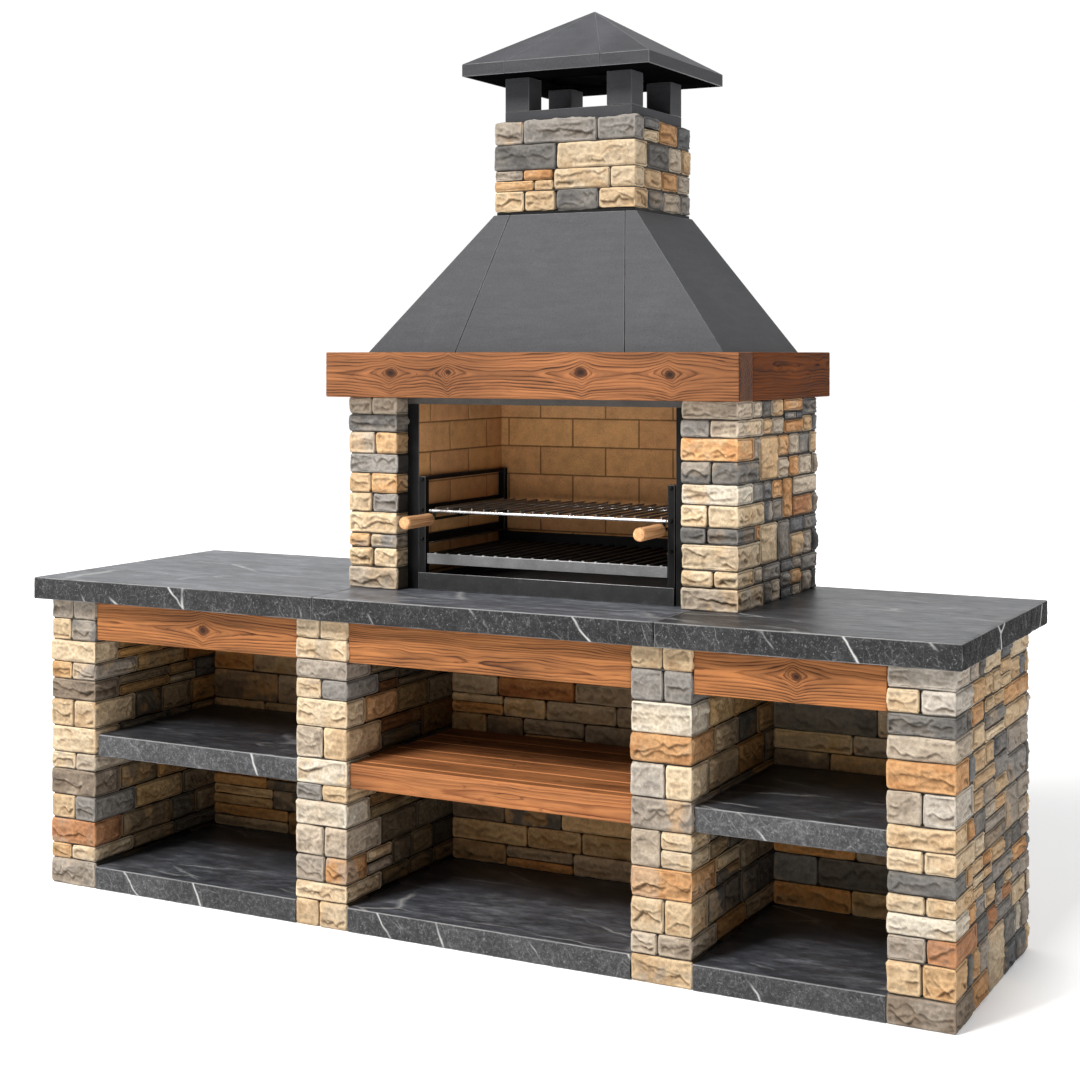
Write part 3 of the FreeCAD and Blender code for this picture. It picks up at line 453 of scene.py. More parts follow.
def wood_material(name, light, mid, dark, line, spec=0.16):
    m = Mat(name, Specular_IOR_Level=spec)
    g = m.attr("grain")
    uvw = m.attr("wuvw", "Vector")
    fib = m.noise(1.0, 6.0, 0.62, vec=m.scaled((7, 520, 520), vec=uvw))
    streak = m.noise(1.0, 5.0, 0.60, vec=m.scaled((2.6, 190, 190), vec=uvw))
    tone = m.noise(1.0, 3.0, 0.5, vec=m.scaled((2.4, 16, 16), vec=uvw))
    force = m.noise(1.0, 3.0, 0.5, vec=m.scaled((4.0, 60, 60), vec=uvw, loc=(2, 5, 1)))
    g2 = m.math("ADD", g, m.math("MULTIPLY", m.math("SUBTRACT", streak, 0.5), 0.95))
    f = m.math("FRACT", g2)
    late = m.ramp(f, [(0.0, 0.25), (0.10, 0.0), (0.42, 0.05), (0.72, 0.45), (0.88, 1.0), (0.95, 0.85), (1.0, 0.25)])
    late = m.math("MULTIPLY", late, m.fit(force, 0.32, 0.66, 0.10, 1.0))
    c = m.ramp(late, [(0.0, light), (0.35, mid), (0.72, dark), (1.0, line)])
    c = m.mix(1.0, c, m.ramp(streak, [(0.26, 0.52), (0.5, 0.98), (0.74, 1.32)]), "MULTIPLY")
    c = m.mix(1.0, c, m.ramp(fib, [(0.25, 0.74), (0.5, 1.0), (0.75, 1.18)]), "MULTIPLY")
    c = m.mix(1.0, c, m.ramp(tone, [(0.30, 0.66), (0.5, 0.97), (0.70, 1.16)]), "MULTIPLY")
    k = m.attr("knot")
    kc = m.ramp(k, [(0.0, dark), (0.30, line), (0.5, dark), (0.72, line), (1.0, tuple(0.40 * x for x in line))])
    c = m.mix(m.ramp(k, [(0.02, 0.0), (0.16, 0.50), (0.40, 0.95)]), c, kc)
    # open grain and fine checks
    pores = m.ramp(m.noise(1.0, 2.0, 0.5, vec=m.scaled((13, 800, 800), vec=uvw)), [(0.62, 0.0), (0.72, 0.55)])
    c = m.mix(pores, c, tuple(0.7 * x for x in line))
    crack = m.ramp(m.math("ABSOLUTE", m.math("SUBTRACT", m.noise(1.0, 3.0, 0.5, vec=m.scaled((2.6, 46, 46), vec=uvw, loc=(3, 1, 2))), 0.5)), [(0.0, 1.0), (0.004, 0.6), (0.010, 0.0)])
    gate = m.ramp(m.noise(1.0, 2.0, 0.5, vec=m.scaled((5, 9, 9), vec=uvw)), [(0.60, 0.0), (0.68, 0.8)])
    c = m.mix(m.math("MULTIPLY", crack, gate), c, tuple(0.3 * x for x in line))
    # paler edges, stronger on the top edges: partly wear, partly painted highlight
    c = m.mix(m.math("MULTIPLY", m.attr("worn"), 0.55), c, tuple(min(1.0, 1.7 * x) for x in light))
    # painted shade: the dim attribute darkens the faces that look to the right
    c = m.mix(m.attr("dim"), c, (0.44, 0.36, 0.28), "MULTIPLY")
    m.base(c)
    m.rough(m.fit(fib, 0.2, 0.8, 0.58, 0.78))
    h = m.math("ADD", m.math("MULTIPLY", fib, 0.5), m.math("MULTIPLY", late, -0.35))
    h = m.math("SUBTRACT", h, m.math("MULTIPLY", m.math("MULTIPLY", crack, gate), 0.8))
    m.bump(h, 0.0016, 0.75)
    return m.m


def sheet_material(name, k):
    m = Mat(name, Specular_IOR_Level=0.20)
    cloud = m.noise(5.0, 7.0, 0.6, dist=0.6)
    strk = m.noise(1.0, 5.0, 0.6, vec=m.scaled((9, 9, 60)))
    fine = m.noise(240, 4.0, 0.6)
    c = m.ramp(cloud, [(0.28, (0.027, 0.028, 0.0318)), (0.5, (0.039, 0.040, 0.045)), (0.74, (0.057, 0.058, 0.064))])
    c = m.mix(1.0, c, m.ramp(strk, [(0.3, 0.88 * k), (0.7, 1.12 * k)]), "MULTIPLY")
    c = m.mix(1.0, c, m.ramp(fine, [(0.3, 0.76), (0.7, 1.20)]), "MULTIPLY")
    m.base(c)
    m.rough(m.fit(cloud, 0.25, 0.75, 0.50, 0.66))
    m.bump(m.math("ADD", m.math("MULTIPLY", fine, 0.4), cloud), 0.0012, 0.5)
    return m.m


def brick_material():
    m = Mat("firebrick", Specular_IOR_Level=0.2)
    col = m.attr("col", "Color")
    a = m.noise(26, 8.0, 0.65)
    b = m.noise(330, 4.0, 0.6)
    s = m.noise(170, 2.0, 0.5)
    c = m.mix(1.0, col, m.ramp(a, [(0.28, 0.80), (0.5, 1.0), (0.72, 1.14)]), "MULTIPLY")
    c = m.mix(1.0, c, m.ramp(b, [(0.28, 0.80), (0.5, 1.0), (0.72, 1.14)]), "MULTIPLY")
    c = m.mix(m.ramp(s, [(0.68, 0.0), (0.76, 0.5)]), c, (0.20, 0.115, 0.055))
    m.base(c)
    m.rough(m.fit(a, 0.2, 0.8, 0.82, 0.96))
    m.bump(m.math("ADD", m.math("MULTIPLY", b, 0.6), a), 0.0022, 0.7)
    return m.m


def steel_material(name, color, rough, metal=0.0, wear=(0.2, 0.2, 0.2), amount=0.25, spec=0.5):
    m = Mat(name, Metallic=metal, Specular_IOR_Level=spec)
    a = m.noise(20, 6.0, 0.6)
    b = m.noise(260, 4.0, 0.6)
    c = m.ramp(a, [(0.3, tuple(0.75 * x for x in color)), (0.7, tuple(1.3 * x for x in color))])
    c = m.mix(1.0, c, m.ramp(b, [(0.3, 0.82), (0.7, 1.18)]), "MULTIPLY")
    scuff = m.ramp(m.noise(48, 7.0, 0.7), [(0.58, 0.0), (0.70, amount)])
    c = m.mix(scuff, c, wear)
    m.base(c)
    m.rough(m.fit(a, 0.25, 0.75, max(0.05, rough - 0.09), rough + 0.10))
    m.bump(m.math("ADD", m.math("MULTIPLY", b, 0.5), a), 0.0006, 0.6)
    return m.m


def plain_mineral(name, a_col, b_col):
    m = Mat(name, Specular_IOR_Level=0.2)
    a = m.noise(30, 8.0, 0.7)
    b = m.noise(280, 4.0, 0.6)
    c = m.ramp(a, [(0.28, a_col), (0.72, b_col)])
    c = m.mix(1.0, c, m.ramp(b, [(0.3, 0.75), (0.7, 1.2)]), "MULTIPLY")
    m.base(c)
    m.rough(0.92)
    m.bump(m.math("ADD", a, m.math("MULTIPLY", b, 0.5)), 0.003, 0.8)
    return m.m


STONE = stone_material()
SLATE = slate_material()
TIMBER = wood_material("timber", lin((150, 97, 56)), lin((123, 76, 41)), lin((85, 48, 25)), lin((50, 27, 14)))
MANTEL = wood_material("mantel_timber", lin((132, 85, 52)), lin((105, 64, 37)), lin((66, 37, 20)), lin((36, 19, 10)))
# a darker copy of the mantel timber for the side beams: painted shade on the right-hand side
MANTEL_SIDES_SHADED = wood_material("timber_side", lin((98, 50, 12)), lin((82, 40, 9)), lin((55, 25, 6)), lin((33, 14, 3)), 0.05)
SHELF = wood_material("shelf_timber", lin((150, 97, 58)), lin((132, 80, 45)), lin((104, 58, 32)), lin((74, 38, 20)))
BEECH = wood_material("beech", lin((206, 158, 114)), lin((194, 143, 98)), lin((176, 124, 82)), lin((150, 100, 64)))
SHEET = sheet_material("charcoal_sheet", 1.07)
ROOF = sheet_material("roof_sheet", 1.22)
FASCIA = sheet_material("fascia_sheet", 0.78)
MATT = steel_material("soffit_black", (0.0022, 0.0022, 0.0023), 0.90, 0.0, (0.004, 0.004, 0.004), 0.3, 0.0)
POST = sheet_material("post_sheet", 0.72)
# SHEET_EDGE and POST_EDGE, paler than their sheets, go on the bevels: painted highlights along the edges
SHEET_EDGE = steel_material("charcoal_sheet_edge", (0.085, 0.086, 0.090), 0.48, 0.0, (0.14, 0.14, 0.145), 0.4)
POST_EDGE = steel_material("post_sheet_edge", (0.040, 0.040, 0.042), 0.48, 0.0, (0.07, 0.07, 0.072), 0.4)
BRICK = brick_material()
BLACK = steel_material("black_steel", (0.0050, 0.0050, 0.0053), 0.52, 0.0, (0.011, 0.0105, 0.010), 0.40, 0.12)
# BLACK_EDGE and GREY_EDGE, paler than their steel, go on bevels and rod ends: painted highlights
BLACK_EDGE = steel_material("black_steel_edge", (0.030, 0.030, 0.031), 0.42, 0.0, (0.060, 0.060, 0.060), 0.4)
GREY = steel_material("grey_steel", (0.125, 0.125, 0.128), 0.40, 0.45, (0.20, 0.19, 0.18), 0.35)
GREY_EDGE = steel_material("grey_steel_edge", (0.26, 0.26, 0.265), 0.36, 0.5, (0.36, 0.36, 0.36), 0.4)
LINTEL = steel_material("lintel_steel", (0.056, 0.051, 0.046), 0.48, 0.35, (0.11, 0.10, 0.095), 0.3)
# the grate's rods take a darker steel than its chrome frame: painted dark reflections
ROD = steel_material("rod_steel", (0.165, 0.155, 0.145), 0.36, 0.7, (0.07, 0.06, 0.05), 0.5)
TRAY = steel_material("tray_steel", (0.021, 0.0214, 0.0222), 0.46, 0.1, (0.066, 0.066, 0.066), 0.4, 0.30)
CHROME = steel_material("chrome", (0.66, 0.66, 0.67), 0.26, 0.85, (0.30, 0.28, 0.26), 0.30)
CONCRETE = plain_mineral("concrete", (0.055, 0.052, 0.048), (0.13, 0.125, 0.115))
MORTAR = plain_mineral("mortar", (0.030, 0.026, 0.022), (0.075, 0.066, 0.056))


# ------------------------------------------------------------------ facing stones
KINDS = {  # main and second tone of each kind of stone
    "cream": ((202, 182, 153), (185, 160, 127)),
    "pale": ((203, 193, 176), (186, 174, 156)),
    "buff": ((195, 171, 138), (178, 149, 114)),
    "ochre": ((191, 157, 117), (173, 134, 93)),
    "orange": ((190, 147, 103), (171, 123, 80)),
    "rust": ((166, 120, 85), (144, 99, 68)),
    "taupe": ((178, 164, 146), (157, 143, 126)),
    "tgrey": ((158, 147, 134), (139, 129, 118)),
    "grey": ((137, 132, 126), (119, 115, 110)),
    "bgrey": ((111, 111, 111), (95, 96, 98)),
    "dark": ((108, 105, 101), (92, 90, 88)),
    "brown": ((128, 114, 99), (110, 97, 85)),
    "lgrey": ((185, 176, 164), (166, 157, 146)),
    "tan": ((190, 162, 127), (172, 142, 107)),
}
FRONT = {
    "left_outer_pier_stones": "tgrey tgrey buff grey cream ochre tgrey brown buff buff cream cream taupe brown buff grey rust ochre cream tgrey",
    "left_inner_pier_stones": "cream cream cream tgrey cream grey cream taupe buff pale grey buff pale taupe taupe tgrey orange cream buff buff",
    "right_inner_pier_stones": "buff buff grey grey pale orange lgrey cream tgrey taupe cream cream orange cream buff taupe taupe buff",
    "right_outer_pier_stones": "lgrey cream lgrey dark taupe orange taupe lgrey buff cream cream dark cream buff pale tgrey rust buff ochre brown",
    "left_firebox_wall_stones": "taupe taupe dark taupe ochre grey tan ochre buff grey cream ochre grey buff cream taupe",
    "right_firebox_wall_stones": "taupe grey taupe orange dark dark pale cream cream dark dark cream cream cream taupe",
}
CHIMNEY_FRONT = "tgrey grey grey dark cream tgrey orange cream cream ochre tan buff buff dark buff"
MIXES = {
    "side": (("cream", 12), ("buff", 13), ("taupe", 13), ("tgrey", 12), ("grey", 9), ("bgrey", 14), ("dark", 8), ("tan", 13), ("ochre", 8), ("orange", 6), ("rust", 3), ("pale", 3)),
    "bay": (("buff", 14), ("tan", 18), ("taupe", 13), ("tgrey", 8), ("dark", 14), ("bgrey", 10), ("brown", 8), ("cream", 10), ("ochre", 10), ("orange", 7), ("rust", 4)),
    "cool": (("bgrey", 17), ("grey", 10), ("taupe", 17), ("tan", 16), ("tgrey", 11), ("dark", 8), ("orange", 8), ("cream", 8), ("rust", 3)),
}
WALLS = [n for n in NODES if n.endswith("_stones")]
BLOCK = np.concatenate([boxes(n) for n in WALLS + ["pier_cores", "base_back_wall_core", "firebox_wall_cores", "left_floor_slab", "middle_floor_slab", "right_floor_slab", "left_counter_slab", "middle_counter_slab", "right_counter_slab", "side_firebrick_linings", "rear_firebrick_lining", "mantel_front_beam", "mantel_side_beams", "hood_bearing_kerbs", "hood_top_frame", "cap_base_frame"]] + [np.array([[-9, -9, -9, 9, 9, 0.0]])])
CORES = np.concatenate([boxes(n) for n in ("pier_cores", "base_back_wall_core", "firebox_wall_cores", "side_firebrick_linings", "rear_firebrick_lining")])


def covered(points, blocks):
    inside = np.zeros(len(points), bool)
    for i in range(0, len(points), 4000):
        p = points[i:i + 4000, None, :]
        inside[i:i + 4000] = np.any(np.all((p > blocks[None, :, :3]) & (p < blocks[None, :, 3:]), axis=2), axis=1)
    return inside


def face_samples(b, off):
    """Points just outside the six faces of each box: (boxes, 6, 16, 3)."""
    g = (np.arange(4) + 0.5) / 4
    out = np.empty((len(b), 6, 16, 3))
    lo, hi = b[:, :3], b[:, 3:]
    for k in range(3):
        u, v = (k + 1) % 3, (k + 2) % 3
        gu, gv = [a.ravel() for a in np.meshgrid(g, g, indexing="ij")]
        for s in (0, 1):
            out[:, 2 * k + s, :, u] = lo[:, u, None] + (hi - lo)[:, u, None] * gu
            out[:, 2 * k + s, :, v] = lo[:, v, None] + (hi - lo)[:, v, None] * gv
            out[:, 2 * k + s, :, k] = (lo[:, k] - off if s == 0 else hi[:, k] + off)[:, None]
    return out


FACE_LIGHT_TONE = {  # painted light and shade: the fronts and the right-hand sides made lighter or darker by how the light falls on them
    "left_outer_pier_stones": (0.80, 1.0), "left_inner_pier_stones": (0.85, 1.0), "right_inner_pier_stones": (0.85, 1.0),
    "right_outer_pier_stones": (0.86, 0.82), "left_firebox_wall_stones": (0.95, 1.0), "right_firebox_wall_stones": (0.96, 1.28),
    "chimney_stones": (0.72, 0.84),
}


def stone_kinds(name, b, rng):
    """One kind per stone: the front ones in order, the others mixed by place."""
    front = b[:, 1].min()
    mixname = "bay" if name == "bay_back_stones" else "cool" if name in ("right_firebox_wall_stones", "chimney_stones") else "side"
    names, w = zip(*MIXES[mixname])
    w = np.array(w, float) / sum(w)
    kinds = list(rng.choice(names, size=len(b), p=w))
    seq = CHIMNEY_FRONT if name == "chimney_stones" else FRONT.get(name)
    if seq:
        seq = seq.split()
        idx = [i for i in range(len(b)) if b[i, 1] < front + 0.002]
        idx.sort(key=lambda i: (-round(b[i, 5], 4), b[i, 0]))
        for i, k in zip(idx, seq):
            kinds[i] = k
        if len(idx) != len(seq):
            print("front stones of", name, len(idx), "kinds listed", len(seq))
    return kinds


def facing(name):
    b = boxes(name)
    rng = np.random.default_rng(sum(ord(c) * (i + 3) for i, c in enumerate(name)))
    kinds = stone_kinds(name, b, rng)
    out = covered(face_samples(b, 0.009).reshape(-1, 3), BLOCK).reshape(len(b), 6, 16).mean(2)
    back = covered(face_samples(b, 0.0008).reshape(-1, 3), CORES).reshape(len(b), 6, 16).mean(2)
    exposed = out < 0.66
    backed = back > 0.85
    near = name in FRONT or name == "chimney_stones"
    edge_x = b[:, 3].max()
    P, N, W, SID = [], [], [], []
    quads, rings = [], []
    at = 0
    for i in range(len(b)):
        lo, hi, ex = b[i, :3], b[i, 3:], exposed[i]
        seen = ex[1] or ex[2]                       # faces towards +x and -y
        outer = ex[1] and (hi[0] > edge_x - 0.002)  # the open right-hand side
        cell = (0.0029 if ex[2] or outer else 0.0046) if near and seen else 0.0046 if seen else 0.0054
        cell *= CELL
        dim = hi - lo
        flat = [dim[k] for k in range(3) if any(ex[2 * o + s] for o in range(3) if o != k for s in (0, 1))]
        r = min(rng.uniform(0.0060, 0.0085) if ex[2] else rng.uniform(0.0085, 0.0115), 0.24 * min(flat + [dim.max()]))
        L = []
        for k in range(3):
            fine = any(ex[2 * o + s] for o in range(3) if o != k for s in (0, 1))
            L.append(spread(lo[k], hi[k], cell, r) if fine else rim(lo[k], hi[k], ex[2 * k], ex[2 * k + 1], r))
        p, q, ring = lattice(L, [backed[i][f] and not ex[f] for f in range(6)])
        p, n = rounded(p, lo, hi, r)
        w = np.zeros(len(p))
        for k in range(3):
            for s in (0, 1):
                if ex[2 * k + s]:
                    w = np.maximum(w, np.clip(n[:, k] if s else -n[:, k], 0, 1))
        P.append(p), N.append(n), W.append(w), SID.append(np.full(len(p), i))
        quads.append(q + at)
        rings += [g + at for g in ring]
        at += len(p)
    P, N, W, SID = np.concatenate(P), np.concatenate(N), np.concatenate(W), np.concatenate(SID)
    S = len(b)
    o = rng.uniform(0, 60, (S, 3))[SID]
    cen, half = (b[:, :3] + b[:, 3:]) / 2, (b[:, 3:] - b[:, :3]) / 2
    rel = (P - cen[SID]) / half[SID]
    # how far a point is from the nearest edge of its face
    border = np.sort(np.maximum(half[SID] - np.abs(P - cen[SID]), 0), axis=1)[:, 1]
    onside = np.abs(N[:, 0]) > 0.6
    inner = smooth(0.0015, np.where(onside, 0.0160, 0.0125), border + 0.003 * vnoise(P / 0.014 + o + 2))
    # broad chiselled facets: the lowest of a few tilted planes
    facet = None
    for m in range(4):
        g = rng.uniform(-1, 1, (S, 3)) * 0.0036
        c = rng.uniform(0.0, 0.0030, S)
        h = c[SID] + (rel * g[SID]).sum(1)
        facet = h if facet is None else np.minimum(facet, h)
    # split faces: a wandering ledge or two across each stone, proud above and undercut below, on a face
    # of shallow bowls that meet in soft ridges
    bend = P + 0.0085 * np.stack([vnoise(P / 0.030 + o + 3), vnoise(P / 0.030 + o + 11), vnoise(P / 0.030 + o + 29)], -1)
    bend = bend + 0.0030 * np.stack([vnoise(P / 0.0105 + o + 5), vnoise(P / 0.0105 + o + 15), vnoise(P / 0.0105 + o + 25)], -1)
    u, ur = np.where(onside, P[:, 1], P[:, 0]), np.where(onside, rel[:, 1], rel[:, 0])
    hh = half[SID][:, 2]

    def ledge(level, slope, size, k):
        """Height of the ledge's relief, and the shade below and the light on its lip."""
        def along(step, n):
            return vnoise(np.stack([u / step + o[:, 0], o[:, 1] + k + n, o[:, 2]], -1))
        line = level[SID] + slope[SID] * ur
        hand = rng.choice([-1.0, 1.0], S)[SID]
        drift = hand * 0.022 * (0.27 - np.abs(along(0.036, 0.5))) + 0.0065 * along(0.065, 5.5) + 0.0036 * along(0.0135, 3.5) + 0.0014 * along(0.006, 7.5)
        t = (rel[:, 2] - line) * hh + drift * np.clip(hh / 0.030, 0.4, 1.2)
        amp = smooth(-0.42, 0.42, along(0.058, 11.5) + 0.30 * along(0.021, 13.5)) * size[SID] * np.clip(hh / 0.022, 0.35, 1.0)
        over = smooth(-0.0020, 0.0020, t)
        rise = amp * (over * 0.0028 * np.exp(-np.abs(t) / 0.022) - (1 - over) * 0.0046 * np.exp(-np.abs(t) / 0.015))
        return rise, amp * (1 - over) * np.exp(-np.abs(t) / 0.0090), amp * over * np.exp(-np.abs(t) / 0.0050)

    l1, d1, b1 = ledge(rng.uniform(-0.55, 0.10, S), rng.uniform(-0.28, 0.28, S), rng.uniform(0.70, 1.20, S), 0.0)
    l2, d2, b2 = ledge(rng.uniform(0.0, 0.65, S), rng.uniform(-0.60, 0.60, S), rng.choice([0.3, 0.5, 0.7, 0.8], S), 31.0)
    l3, d3, b3 = ledge(rng.uniform(-0.7, 0.7, S), rng.uniform(-1.3, 1.3, S), rng.choice([0.0, 0.35, 0.5, 0.6], S), 47.0)
    split = l1 + l2 + l3
    d1, b1 = d1 + d3, b1 + b3
    half_bend = 0.45 * P + 0.55 * bend
    big, g1 = bowls(half_bend / np.array([0.050, 0.050, 0.034]) + o + 9, 0.22)
    lesser, g2 = bowls(half_bend / np.array([0.021, 0.021, 0.0150]) + o + 19, 0.22)
    small = 0.0080 * (big - 0.22) + 0.0034 * (lesser - 0.22)
    mid = fbm(P / 0.034 + o + 5, 3)
    low = vnoise(P / 0.0115 + o + 7)
    tiny = vnoise(P / 0.0058 + o + 9)
    edge = np.clip((1 - np.abs(N).max(1)) / 0.29, 0, 1)
    chips = np.clip(vnoise(P / 0.022 + o + 13) - 0.22, 0, 1) * edge
    front = np.abs(N[:, 1]) > 0.7
    push = rng.uniform(-0.0025, 0.0030, S)[SID] * np.where(front, 1.0, 0.45)
    d = W * (push + facet * (0.35 + 0.65 * inner) + inner * (split + small) + 0.0010 * mid + 0.0006 * low + 0.0003 * tiny) - 0.0055 * chips * W
    # the outline wanders, and the stones of the long sides are cushioned towards their ends
    wander = 0.0022 * fbm(P / 0.045 + o + 17, 2)
    swell = np.where(exposed[:, 2], 0.0013, -0.0003)
    if name == "bay_back_stones":
        swell = swell + 0.0004
    elif "pier" in name:
        swell = np.where((cen[:, 1] > -0.20) & (np.abs(cen[:, 0]) < 1.30), 0.0010, swell)
    d += (1 - W) * np.clip(swell[SID] + np.where(exposed[:, 2][SID], 1.0, 0.8) * wander, -0.0028, 0.0023)
    hy = half[SID][:, 1]
    ey = np.maximum(hy - np.abs(P[:, 1] - cen[SID][:, 1]), 0)
    ez = np.maximum(hh - np.abs(P[:, 2] - cen[SID][:, 2]), 0)
    ey = np.where(exposed[:, 2][SID] & (P[:, 1] < cen[SID][:, 1]), 1.0, ey)
    cushion = 0.0062 * (1 - smooth(0.0, np.minimum(0.024, 0.8 * hy), ey)) + 0.0026 * (1 - smooth(0.0, 0.012, ez))
    d -= np.where(onside, cushion, 0.0) * W
    d = np.clip(d, -0.013, 0.0085)
    V = P + N * d[:, None]
    # colour: two tones by facet and in patches, a warm stain, a slight shift from stone to stone
    c1 = np.array([lin(KINDS[k][0]) for k in kinds]) * rng.uniform(0.90, 1.10, (S, 1))
    c2 = np.array([lin(KINDS[k][1]) for k in kinds]) * rng.uniform(0.88, 1.08, (S, 1))
    f = smooth(0.25, 0.85, 0.5 + 0.34 * fbm(bend / 0.045 + o + 21, 3) + 0.24 * g1 + 0.08 * g2)[:, None]
    col = c1[SID] * (1 - f) + c2[SID] * f
    other = np.array([lin(KINDS[k][0]) for k in rng.choice(("tgrey", "ochre", "taupe", "tan", "grey", "buff"), S)])
    patch = (smooth(0.02, 0.42, fbm(bend / 0.058 + o + 41, 3)) * rng.choice([0.0, 0.2, 0.4, 0.6], S)[SID])[:, None]
    col = col * (1 - patch) + other[SID] * patch
    warm = smooth(0.25, 0.8, fbm(P / 0.075 + o + 31, 2))[:, None] * rng.uniform(0, 0.35, S)[SID][:, None]
    col = col * (1 - warm) + col * np.array([1.06, 0.92, 0.76]) * warm
    # painted light and shade of the bays: each bay's back tinted to the light that reaches it, the right bay's
    # lightened, and the bay-side stones of the piers darkened as painted shade
    if name == "bay_back_stones":
        inside = np.ones(S)
        x = P[:, :1]
        bay = np.where(x < -0.4, np.array([0.86, 0.70, 0.53]), np.where(x > 0.4, np.array([1.60, 1.45, 1.22]), np.array([0.91, 0.80, 0.66])))
        col = col * bay
    elif "pier" in name:
        shaded = (cen[:, 1] > -0.20) & (np.abs(cen[:, 0]) < 1.30)
        tint = {"left_outer_pier_stones": (0.72, 0.62, 0.48), "left_inner_pier_stones": (0.31, 0.29, 0.24)}.get(name, (0.80, 0.72, 0.60))
        col = np.where(shaded[SID][:, None], col * np.array(tint), col)
        inside = shaded * 1.0
    else:
        inside = np.zeros(S)
    # stones inside the bays get fuller colours that differ more from stone to stone
    grey = col.mean(1, keepdims=True)
    col = np.maximum(grey + (1 + 0.10 * inside[SID][:, None]) * (col - grey), 0.004) * (1 + inside * rng.uniform(-0.24, 0.20, S))[SID][:, None]
    col = col * np.minimum(1, 0.72 / col.max(1, keepdims=True))
    col = col * (1 + 0.07 * mid[:, None])
    # painted highlight on the lip of each ledge, painted shade at its foot and in the hollows
    dark = np.clip((d1 + d2) * inner * W, 0, 1)[:, None]
    light = np.clip((b1 + b2) * inner * W, 0, 1)[:, None]
    deep = np.clip(-(split + small) / 0.006, 0, 1)[:, None] * inner[:, None]
    col = col * (1 + 0.12 * light) * (1 - dark * np.array([0.30, 0.36, 0.42])) * (1 - deep * np.array([0.08, 0.11, 0.15]))
    # painted light and shade by facing: fronts and right-hand sides scaled by the table of painted face light
    ahead, right = smooth(0.3, 0.8, -N[:, 1])[:, None], smooth(0.3, 0.8, N[:, 0])[:, None]
    tone = FACE_LIGHT_TONE.get(name, (1.0, 1.0))
    col = col * (1 + (tone[0] - 1) * ahead) * (1 + (tone[1] - 1) * right)
    # painted shade into the joints: each stone darkened towards its rounded edges, and on the long sides towards its
    # ends and its top and bottom
    painted_joint_shade = 0.20 + 0.80 * smooth(0.0, np.where(onside, 0.60, 0.20), W)
    painted_joint_shade = painted_joint_shade * np.where(onside, (0.42 + 0.58 * smooth(0.0, 0.012, ey)) * (0.45 + 0.55 * smooth(0.0005, 0.0065, ez)), 1.0)
    col = col * painted_joint_shade[:, None]
    # painted light and shade from the surface's own slopes: upward facets painted lighter, undersides and hollows
    # painted darker, ridges given a painted highlight
    faces = np.concatenate([np.concatenate(quads)])
    tri = V[faces]
    fn = np.cross(tri[:, 2] - tri[:, 0], tri[:, 3] - tri[:, 1])
    vn = np.stack([sum(np.bincount(faces[:, j], fn[:, k], len(V)) for j in range(4)) for k in range(3)], -1)
    vn /= np.maximum(np.linalg.norm(vn, axis=1, keepdims=True), 1e-12)
    bow, cnt = np.zeros(len(V)), np.zeros(len(V))
    for j in range(4):
        a, c = faces[:, j], faces[:, (j + 1) % 4]
        dp = V[c] - V[a]
        w = np.einsum("ij,ij->i", vn[c] - vn[a], dp) / np.maximum(np.einsum("ij,ij->i", dp, dp), 1e-8)
        bow += np.bincount(a, w, len(V)) + np.bincount(c, w, len(V))
        cnt += np.bincount(a, minlength=len(V)) + np.bincount(c, minlength=len(V))
    bow = np.clip(bow / np.maximum(cnt, 1) / 75.0, -1, 1) * smooth(0.15, 0.5, W)
    tilt = vn[:, 2] * np.clip(W * 1.4, 0, 1)
    shade = 1 + 0.26 * np.clip(tilt, 0, 1) + 0.52 * np.clip(tilt, -1, 0)
    shade = shade * (1 + 0.20 * np.clip(bow, 0, 1) + 0.36 * np.clip(bow, -1, 0))
    col = col * np.clip(shade, 0.30, 1.45)[:, None]
    col = np.clip(col, 0.005, 0.95)
    # a large wall is several pieces, its front stones and the others, by height, so that none gets too heavy
    lead = b[:, 1] < b[:, 1].min() + 0.002
    load = np.bincount(SID[faces[:, 0]], minlength=S)
    parts = (("_front", lead), ("_side", ~lead)) if load.sum() > 92000 and name in FRONT else (("", np.ones(S, bool)),)
    for tail, group in parts:
        order = np.flatnonzero(group)
        order = order[np.argsort(cen[order, 2], kind="stable")]
        k = int(np.ceil(load[order].sum() / 92000))
        level = np.minimum((np.cumsum(load[order]) - 1) * k // load[order].sum(), k - 1)
        for j in range(k):
            chosen = np.zeros(S, bool)
            chosen[order[level == j]] = True
            keep = chosen[SID]
            at = np.cumsum(keep) - 1
            soup = Soup()
            soup.add(V[keep], at[faces[keep[faces[:, 0]]]], [at[g] for g in rings if keep[g[0]]], col=col[keep])
            label = "stones_" + name.replace("_stones", "") + tail + ("_%d" % (j + 1) if k > 1 else "")
            soup.build(label, STONE, True, "masonry", name)


# ------------------------------------------------------------------ slabs
SLAB_LIGHT_TONE = {  # tops and fronts of each slab made lighter or darker to the light that falls on them: painted light and shade
    "left_counter_slab": (1.9, 0.98), "middle_counter_slab": (2.7, 0.97), "right_counter_slab": (0.95, 0.95),
    "left_shelf_slab": (0.90, 2.5), "right_shelf_slab": (0.90, 2.5),
    "left_floor_slab": (1.5, 2.1), "middle_floor_slab": (1.7, 2.1), "right_floor_slab": (1.5, 2.1),
}


